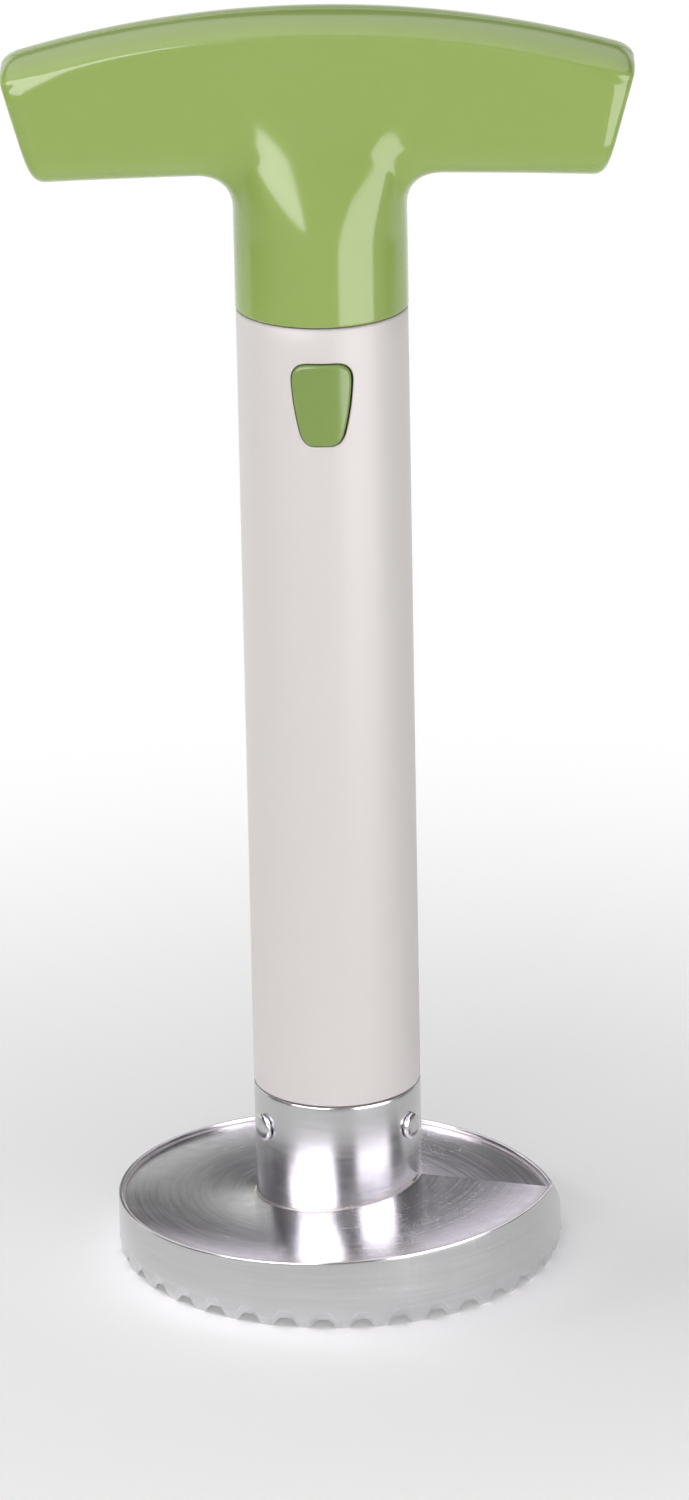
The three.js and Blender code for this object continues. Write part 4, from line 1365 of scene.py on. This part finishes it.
def copies_round_shaft():
    """Copies of a piece turned about the shaft, whose points marked as lifted climb with the blade."""
    tree, given = geometry_tree("copies_round_shaft", {
        "Count": 3, "First Angle": 0.0, "Merge Distance": 0.00001, "Pitch": 0.0, "Sweep": math.tau,
    })
    places = flow(tree, "GeometryNodeMeshLine", {"Count": given["Count"], "Offset": (0, 0, 0)})
    turn = flow(tree, "GeometryNodeInputIndex") * math.tau / given["Count"] + given["First Angle"]
    copies = flow(tree, "GeometryNodeInstanceOnPoints", {
        "Points": places, "Instance": given["Geometry"], "Rotation": vector_of(tree, z=turn),
    })
    real = flow(tree, "GeometryNodeRealizeInstances", {"Geometry": copies})
    merged = flow(tree, "GeometryNodeMergeByDistance", {
        "Geometry": real, "Distance": given["Merge Distance"],
    })
    x, y, _ = axes(flow(tree, "GeometryNodeInputPosition")).values()
    just_past_start = 0.00001
    around = maths("FLOORED_MODULO", maths("ARCTAN2", y, x) + just_past_start, math.tau)
    past = (around - given["Sweep"]).at_least(0.0)
    fall = past / (math.tau - given["Sweep"]).at_least(0.0001)
    climb = around.at_most(given["Sweep"]) * (1.0 - fall)
    rise = climb * given["Pitch"] / math.tau * attribute(tree, "lifted")
    return end_tree(tree, moved(tree, merged, Offset=vector_of(tree, z=rise)), given["Material"])


def copies_at_places():
    """A shape at each point, turned about Y by a seeded angle."""
    tree, given = geometry_tree("copies_at_places", {"Shape": "Object", "Turn": 0.0, "Seed": 0})
    shape = flow(tree, "GeometryNodeObjectInfo", {"Object": given["Shape"]}, output="Geometry")
    turn = flow(tree, "FunctionNodeRandomValue", {
        2: 0.0, 3: given["Turn"], "Seed": given["Seed"],
    }, output=1, data_type="FLOAT")
    copies = flow(tree, "GeometryNodeInstanceOnPoints", {
        "Points": given["Geometry"], "Instance": shape, "Rotation": vector_of(tree, y=turn),
    })
    return end_tree(tree, copies, given["Material"])


def wound_wire():
    """A round wire wound about Z, with its turns drawn together towards both ends."""
    tree, given = geometry_tree("wound_wire", {
        "Turns": 6.0, "Radius": 0.003, "Height": 0.008, "Wire": 0.0007, "Closing": 0.0, "Steps Per Turn": 48,
        "Sides": 12, "Left Turning": False,
    })
    line = flow(tree, "GeometryNodeCurveSpiral", {
        "Resolution": given["Steps Per Turn"], "Rotations": given["Turns"], "Start Radius": given["Radius"],
        "End Radius": given["Radius"], "Height": 0.0, "Reverse": given["Left Turning"],
    })
    along = flow(tree, "GeometryNodeSplineParameter", output="Factor")
    share = mixed_value(given["Closing"], along, ramp(along, 0.0, 1.0, smooth=True))
    raised = moved(tree, line, Offset=vector_of(tree, z=share * given["Height"]))
    profile = flow(tree, "GeometryNodeCurvePrimitiveCircle", {
        "Resolution": given["Sides"], "Radius": given["Wire"] / 2.0,
    })
    return end_tree(tree, swept(tree, raised, profile), given["Material"])


def rising_sheet():
    """A flat sheet that climbs round the shaft, with its leading end ground thin from above."""
    tree, given = geometry_tree("rising_sheet", {
        "Inner Radius": 0.016, "Outer Radius": 0.041, "Thickness": 0.001, "Pitch": 0.01, "Sweep": 6.0,
        "Low": 0.004, "Edge Sweep": 0.17, "Edge Share": 0.2, "Edge Round": 0.0002,
    })
    middle = (given["Inner Radius"] + given["Outer Radius"]) * 0.5
    line = flow(tree, "GeometryNodeCurveSpiral", {
        "Resolution": TURN_STEPS, "Rotations": given["Sweep"] / math.tau, "Start Radius": middle,
        "End Radius": middle, "Height": 0.0, "Reverse": True,
    })
    upright = flow(tree, "GeometryNodeSetCurveNormal", {"Curve": line}, mode="Z_UP")
    share = flow(tree, "GeometryNodeSplineParameter", output="Factor")
    kept = flow(tree, "GeometryNodeStoreNamedAttribute", {
        "Geometry": upright, "Name": "along", "Value": share,
    }, data_type="FLOAT", domain="POINT")
    section = flow(tree, "GeometryNodeCurvePrimitiveQuadrilateral", {
        "Width": given["Outer Radius"] - given["Inner Radius"], "Height": given["Thickness"],
    })
    eased = flow(tree, "GeometryNodeFilletCurve", {
        "Curve": section, "Radius": given["Edge Round"], "Count": 3,
    }, mode="POLY")
    sheet = swept(tree, kept, eased)
    angle = attribute(tree, "along") * given["Sweep"]
    climb = angle * given["Pitch"] / math.tau
    ground = mixed_value((angle / given["Edge Sweep"]).at_most(1.0), given["Edge Share"], 1.0)
    x, y, z = axes(flow(tree, "GeometryNodeInputPosition")).values()
    above = z + given["Thickness"] * 0.5
    height = above * ground + (given["Low"] + climb)
    return end_tree(tree, moved(tree, sheet, Position=vector_of(tree, x, y, height)), given["Material"])


# Cutting parts
def segment(name, angles, section, lifted=()):
    """One toothed stretch: a closed section at each angle, whose marked points follow the spiral."""
    rings = []
    for angle in angles:
        loop = np.asarray(section(angle), float)
        turn = math.radians(angle)
        rings.append(np.column_stack([loop[:, 0] * math.cos(turn), loop[:, 0] * math.sin(turn), loop[:, 1]]))
    count = len(rings[0])
    points, faces = lofted(rings, False)
    mesh = mesh_of(name, points, [f[::-1] for f in faces])
    mark = mesh.attributes.new("lifted", "FLOAT", "POINT")
    mark.data.foreach_set("value", np.array([i % count in lifted for i in range(len(points))], np.float32))
    return mesh


def rim_section(angle):
    """Rim wall with its lower edge ground from outside; the teeth's flat tips come first."""
    rise = smooth_step(angle, *RIM_TOOTH_RISE) - smooth_step(angle, *RIM_TOOTH_FALL)
    low = RIM_TOOTH_DEPTH * float(rise)
    top = BLADE_LOW_Z + BLADE_THICKNESS + RIM_LIP
    inner, outer = RIM_R - RIM_WALL, RIM_R
    return [
        (inner + 0.05, low), (inner + 0.2, low), (outer - 0.12, low + 1.2), (outer, low + RIM_BEVEL),
        (outer, low + 2.1), (outer, top - 0.9), (outer, top - 0.3), (outer - 0.1, top - 0.08),
        (outer - 0.3, top), (inner + 0.3, top), (inner + 0.1, top - 0.08), (inner, top - 0.3),
        (inner, top - 0.9), (inner, low + 0.9), (inner, low + 0.1),
    ]


def rim_mesh(tree, material):
    """Rim whose upper edge, from the sixth point of its section on, climbs with the blade."""
    tooth = segment("rim_tooth", RIM_TOOTH_ANGLES, rim_section, lifted=range(5, 13))
    return grown("rim", tooth, tree, material, {
        "Count": RIM_TEETH, "Pitch": BLADE_PITCH * MM, "Sweep": math.radians(BLADE_SWEEP),
    })


def sleeve_section(angle):
    """Sleeve wall over one tooth: drawn in at the mouth and ground sharp between the notches."""
    from_notch = min(angle, 360 / SLEEVE_TEETH - angle)
    low = SLEEVE_FOOT_Z + max(0.0, SLEEVE_TOOTH_DEPTH - SLEEVE_BORE_R * math.radians(from_notch))
    mouth = SLEEVE_FOOT_Z + MOUTH_HEIGHT

    def outer(z):
        share = min((z - SLEEVE_FOOT_Z) / (MOUTH_HEIGHT + MOUTH_BLEND), 1)
        return SHAFT_R - MOUTH_DRAW_IN * (1 - share) ** MOUTH_CURVE

    rows = np.linspace(low + 1.0, mouth + MOUTH_BLEND, 6)
    top, wall = SLEEVE_TOP_Z, SLEEVE_WALL
    return (
        [(outer(low) - wall + 0.05, low), (outer(low) - wall + 0.22, low)]
        + [(outer(z), z) for z in rows]
        + [(SHAFT_R, top - 0.9), (SHAFT_R, top - 0.25), (SHAFT_R - 0.08, top - 0.08), (SHAFT_R - 0.25, top)]
        + [(SLEEVE_BORE_R + 0.2, top), (SLEEVE_BORE_R, top - 0.2), (SLEEVE_BORE_R, top - 0.9)]
        + [(outer(z) - wall, z) for z in rows[::-1]]
    )


def sleeve_mesh(tree, material):
    span = 360 / SLEEVE_TEETH
    notch = math.degrees(SLEEVE_TOOTH_DEPTH / SLEEVE_BORE_R)
    angles = [*np.linspace(0, notch, 6), *np.linspace(notch, span - notch, 4)[1:-1]]
    angles += [*np.linspace(span - notch, span, 6)]
    tooth = segment("sleeve_tooth", angles, sleeve_section)
    return grown("sleeve", tooth, tree, material, {"Count": SLEEVE_TEETH})


def rivet_mesh(tree, material):
    """Domed rivets through the sleeve, pointing away from the shaft."""
    start, seat, lip = BORE_R + GAP, SHAFT_R + GAP, RIVET_HEAD_LIP
    dome_height = RIVET_HEAD_HEIGHT - lip
    profile = [(0, start), (RIVET_R, start), (RIVET_R, seat), (RIVET_HEAD_R - 0.1, seat - 0.2)]
    profile += [(RIVET_HEAD_R, seat)]
    profile += [(RIVET_HEAD_R * math.cos(a), seat + lip + dome_height * math.sin(a))
                for a in np.linspace(0, math.pi / 2, 9)[:-1]]
    points, faces = turned(profile + [(0, seat + RIVET_HEAD_HEIGHT)], SMALL_SIDES, False)
    rivet = mesh_of("rivet", [(z, y, RIVET_Z - x) for x, y, z in points], faces)
    return grown("rivets", rivet, tree, material, {
        "Count": RIVET_COUNT, "First Angle": math.radians(FIRST_RIVET_ANGLE), "Merge Distance": 0.0,
    })


def blade_mesh(tree, material):
    return grown_from_seed("blade", tree, material, {
        "Inner Radius": (SHAFT_R + GAP) * MM, "Outer Radius": (RIM_R - RIM_WALL - GAP) * MM,
        "Thickness": BLADE_THICKNESS * MM, "Pitch": BLADE_PITCH * MM, "Sweep": math.radians(BLADE_SWEEP),
        "Low": BLADE_LOW_Z * MM, "Edge Sweep": math.radians(EDGE_SWEEP), "Edge Share": EDGE_SHARE,
        "Edge Round": EDGE_EASE * MM,
    })


def weld_mesh(tree, material, radius):
    """Thin weld bead along an edge of the spiral blade."""
    turns = (BLADE_SWEEP - 2 * EDGE_SWEEP) / 360
    bead = grown_from_seed("weld", tree, material, {
        "Turns": turns, "Radius": radius * MM, "Height": BLADE_PITCH * turns * MM, "Wire": WELD_WIDTH * MM,
        "Steps Per Turn": TURN_STEPS, "Sides": 8, "Left Turning": True,
    })
    start = math.radians(EDGE_SWEEP)
    low = BLADE_LOW_Z + BLADE_THICKNESS / 2 + BLADE_PITCH * EDGE_SWEEP / 360
    bead.transform(Matrix.Translation((0, 0, low * MM)) @ Matrix.Rotation(start, 4, "Z"))
    return bead


# Fasteners and spring
def screw_mesh(tree, material):
    """Self-tapping screws with a real thread and a cross recess."""
    under = HEAD_SEAT_Y + GAP
    tip, top = under - SCREW_LENGTH, under + SCREW_HEAD_HEIGHT
    core = SCREW_R - THREAD_DEPTH
    head, height = SCREW_HEAD_R, SCREW_HEAD_HEIGHT
    profile = [
        (0, tip), (core * 0.45, tip + 0.5), (core, tip + SCREW_POINT), (core, under - 0.6),
        (SCREW_R, under - 0.3), (SCREW_R, under), (head - 0.1, under), (head, under + 0.12),
        (head, under + height * 0.4), (head - 0.25, under + height * 0.75), (head - 0.8, top), (0, top),
    ]
    arms = []
    for across, along in (RECESS_ARM, RECESS_ARM[::-1]):
        rings = []
        for share, y in ((0.8, top - 1.0), (1.0, top), (1.0, top + 1)):
            corners = [(-across, along), (across, along), (across, -along), (-across, -along)]
            rings.append([[x * share, y, z * share] for x, z in corners])
        arms.append(("DIFFERENCE", mesh_of("arm", *lofted(rings))))
    body = cut(along_y(profile, 0, 0, SMALL_SIDES, False), *arms)
    thread = []
    steps, root = THREAD_TURNS * THREAD_STEPS, core - 0.15
    for i in range(steps + 1):
        angle, y = i * math.tau / THREAD_STEPS, under - THREAD_START - i * THREAD_PITCH / THREAD_STEPS
        deep = min(1, 2 * i / THREAD_STEPS, (steps - i) / THREAD_STEPS)
        outer = core - 0.02 + (SCREW_R - core) * deep
        foot, crest = THREAD_HALF_FOOT, THREAD_HALF_CREST
        ring = [(root, y - foot), (outer, y - crest), (outer, y + crest), (root, y + foot)]
        thread.append([(r * math.cos(angle), v, r * math.sin(angle)) for r, v in ring])
    body = joined("screw", body, mesh_of("thread", *lofted(thread)))
    return placed_shapes(tree, "screws", body, math.tau, material)


def cap_mesh(tree, material):
    """Plugs with an eased edge, flush with the rear face."""
    low, high = HEAD_SEAT_Y + GAP + SCREW_HEAD_HEIGHT + GAP, GRIP_HALF_DEPTH
    cap = along_y([
        (0, low), (PLUG_R, low), (PLUG_R, high - PLUG_EASE), (PLUG_R - 0.09, high - 0.09),
        (PLUG_R - PLUG_EASE, high), (0, high),
    ], 0, 0, POCKET_SIDES, False)
    return placed_shapes(tree, "caps", cap, 0.0, material)


def placed_shapes(tree, name, shape, turn, material):
    """A shape at each screw's place, turned by up to an angle."""
    source = loose_object("shape", shape)
    places = mesh_of("places", [(x, 0, grip_middle(x)) for x in SCREW_XS], [])
    made = grown(name, places, tree, material, {"Shape": source, "Turn": turn, "Seed": SCREW_SEED})
    bpy.data.objects.remove(source)
    return made


def spring_mesh(tree, material):
    """Wire spring along Y, closed towards both ends."""
    spring = grown_from_seed("spring", tree, material, {
        "Turns": float(SPRING_COILS), "Radius": SPRING_COIL_R * MM,
        "Height": (SPRING_LENGTH - SPRING_WIRE) * MM, "Wire": SPRING_WIRE * MM, "Closing": SPRING_CLOSING,
    })
    place = Matrix.Translation((0, (SPRING_START_Y + SPRING_WIRE / 2) * MM, BUTTON_Z * MM))
    spring.transform(place @ Matrix.Rotation(math.radians(-90), 4, "X"))
    return spring


# Studio
add_camera()
add_world()
add_floor()
add_card("left_card", x=-0.62, front=-0.34, back=0.17, top=0.32)
add_card("right_card", x=0.62, front=0.0, back=0.65, top=0.16)
add_lamp("top_light", azimuth=-90, elevation=70, distance=1.3, width=1.2, height=1.0, radiance=2.2)
add_lamp("front_light", azimuth=-8, elevation=15, distance=1.6, width=1.3, height=1.0, radiance=2.25)
add_lamp("right_light", azimuth=45, elevation=20, distance=1.6, width=1.3, height=1.0, radiance=1.5)
add_lamp("left_light", azimuth=-100, elevation=15, distance=1.2, width=0.6, height=0.8, radiance=3.6)
add_panel("right_panel", *[(arc(start=23, end=72, height=z, distance=0.38), 5.0) for z in (0.002, 0.23)])
add_panel("left_panel", *[
    (arc(start, end, height, distance=0.9), 6.8)
    for start, end, height in ((-86, -14, 0.165), (-79, -7, 0.62), (-74, -13, 0.92))
])
add_panel("overhead_panel", *[
    ([(x, y, OVERHEAD_Z) for x, y in zip(OVERHEAD_XS, ys)], glow)
    for ys, glow in (([-0.9] * 5, 1.8), ([0.3] * 5, 1.8), ([1.0] * 5, 1.3), (OVERHEAD_REAR, 0.9))
])

# Finishes of this slicer
SKIN, WORN_AND_HIGHLIT, LINE, SCRATCHES = moulded_skin(), worn_and_highlit_edge(), joint_line(), fine_scratches()
BRUSHED, TINT = brushed_round_shaft(), heat_tint()
# Depth of the skin, and its pattern
glossy_mould = (0.006, {
    "Cloud Size": 0.035, "Cloud Amount": 0.05, "Wave Size": 0.005, "Grain Size": 0.0008,
    "Grain Share": 0.05, "Roughness Spread": 0.05,
})
satin_mould = (0.008, {
    "Cloud Size": 0.05, "Cloud Amount": 0.02, "Wave Size": 0.003, "Grain Size": 0.0005,
    "Grain Share": 0.5, "Roughness Spread": 0.08,
})
# Axis, height and width of each line of painted shade and dust; the button's lies beyond it, so it has none
parting_line, seam_line, no_line = ("Y", 0, 0.3), ("Z", SEAM_Z, 0.8), ("X", 40, 0.3)
green = plastic("green_grip_plastic", GRIP_GREEN, 0.13, mould=glossy_mould, joint=parting_line)
button_green = plastic("green_button_plastic", BUTTON_GREEN, 0.16, mould=glossy_mould, joint=no_line)
white = plastic("white_shaft_plastic", SHAFT_WHITE, 0.36, mould=satin_mould, joint=seam_line, wear_and_highlight=0.1)
grey = filled_plastic("grey_filled_plastic", STEM_GREY, roughness=0.5)
welds = (RIM_R - RIM_WALL, SHAFT_R)
blade_steel = brushed_steel("blade_steel", roughness=0.24, pitch=BLADE_PITCH, welds=welds)
rim_steel = brushed_steel("rim_steel", roughness=0.22, ground=RIM_BEVEL)
sleeve_steel = brushed_steel("sleeve_steel", roughness=0.24, ground=SLEEVE_FOOT_Z + SLEEVE_GROUND)
small_steel = bright_steel("turned_steel", roughness=0.2, spots=0.004)
wire_steel = bright_steel("drawn_wire_steel", roughness=0.26, spots=0.002)
bead_steel = weld_steel("weld_bead_steel")
node_materials = {
    "green_plastic": green, "white_plastic": white, "grey_plastic": grey, "stainless_steel": small_steel,
    "release_button": button_green, "spiral_blade": blade_steel, "rim_blade": rim_steel,
    "cutter_sleeve": sleeve_steel, "button_spring": wire_steel,
}
for row in frame["record"]["subparts"]:
    thing = frame["nodes"][row["node"]]
    thing.data.materials.clear()
    thing.data.materials.append(node_materials.get(row["node"], node_materials[row["material_slot"]]))

# Pieces
skin = grip_skin()
dress("grip_front", front_shell(skin), green, "green_plastic", "handle", "grip_front_shell")
dress("grip_rear", rear_shell(skin), green, "green_plastic", "handle", "grip_rear_shell")
dress("release_pad", button_mesh(), button_green, "green_plastic", "button", "release_button")
dress("shaft_tube", shaft_mesh(), white, "white_plastic", "shaft", "core_tube")
dress("stem", stem_mesh(), grey, "grey_plastic", "handle", "handle_stem")
dress("spigot_cap", end_cap_mesh(), grey, "grey_plastic", "handle", "stem_end_cap")
dress("seat", spring_seat_mesh(), grey, "grey_plastic", "handle", "spring_seat")
dress("seat_cross_pin", seat_pin_mesh(), small_steel, "stainless_steel", "handle", "seat_pin")

round_shaft, at_places = copies_round_shaft(), copies_at_places()
wire, sheet = wound_wire(), rising_sheet()
steel_pieces = [
    ("cutter_mouth", sleeve_mesh(round_shaft, sleeve_steel), sleeve_steel, ["cutter_sleeve"]),
    ("toothed_rim", rim_mesh(round_shaft, rim_steel), rim_steel, ["rim_blade"]),
    ("slicing_blade", blade_mesh(sheet, blade_steel), blade_steel, ["spiral_blade"]),
    ("inner_weld", weld_mesh(wire, bead_steel, SHAFT_R + WELD_INSET), bead_steel, []),
    ("outer_weld", weld_mesh(wire, bead_steel, RIM_R - RIM_WALL - WELD_INSET), bead_steel, []),
    ("rivets", rivet_mesh(round_shaft, small_steel), small_steel, [f"sleeve_rivet_{i}" for i in range(1, 4)]),
]
for name, mesh, material, nodes in steel_pieces:
    dress(name, mesh, material, "stainless_steel", "shaft", *nodes)
screw_nodes = [f"grip_screw_{i}" for i in range(1, 5)]
plug_nodes = [f"screw_cap_{i}" for i in range(1, 5)]
dress("screws", screw_mesh(at_places, small_steel), small_steel, "stainless_steel", "handle", *screw_nodes)
dress("screw_plugs", cap_mesh(at_places, green), green, "green_plastic", "handle", *plug_nodes)
spring_wire = spring_mesh(wire, wire_steel)
spring = dress("return_spring", spring_wire, wire_steel, "stainless_steel", "handle", "button_spring")
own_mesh(spring)

view = bpy.context.scene.view_settings
view.view_transform = "Standard"
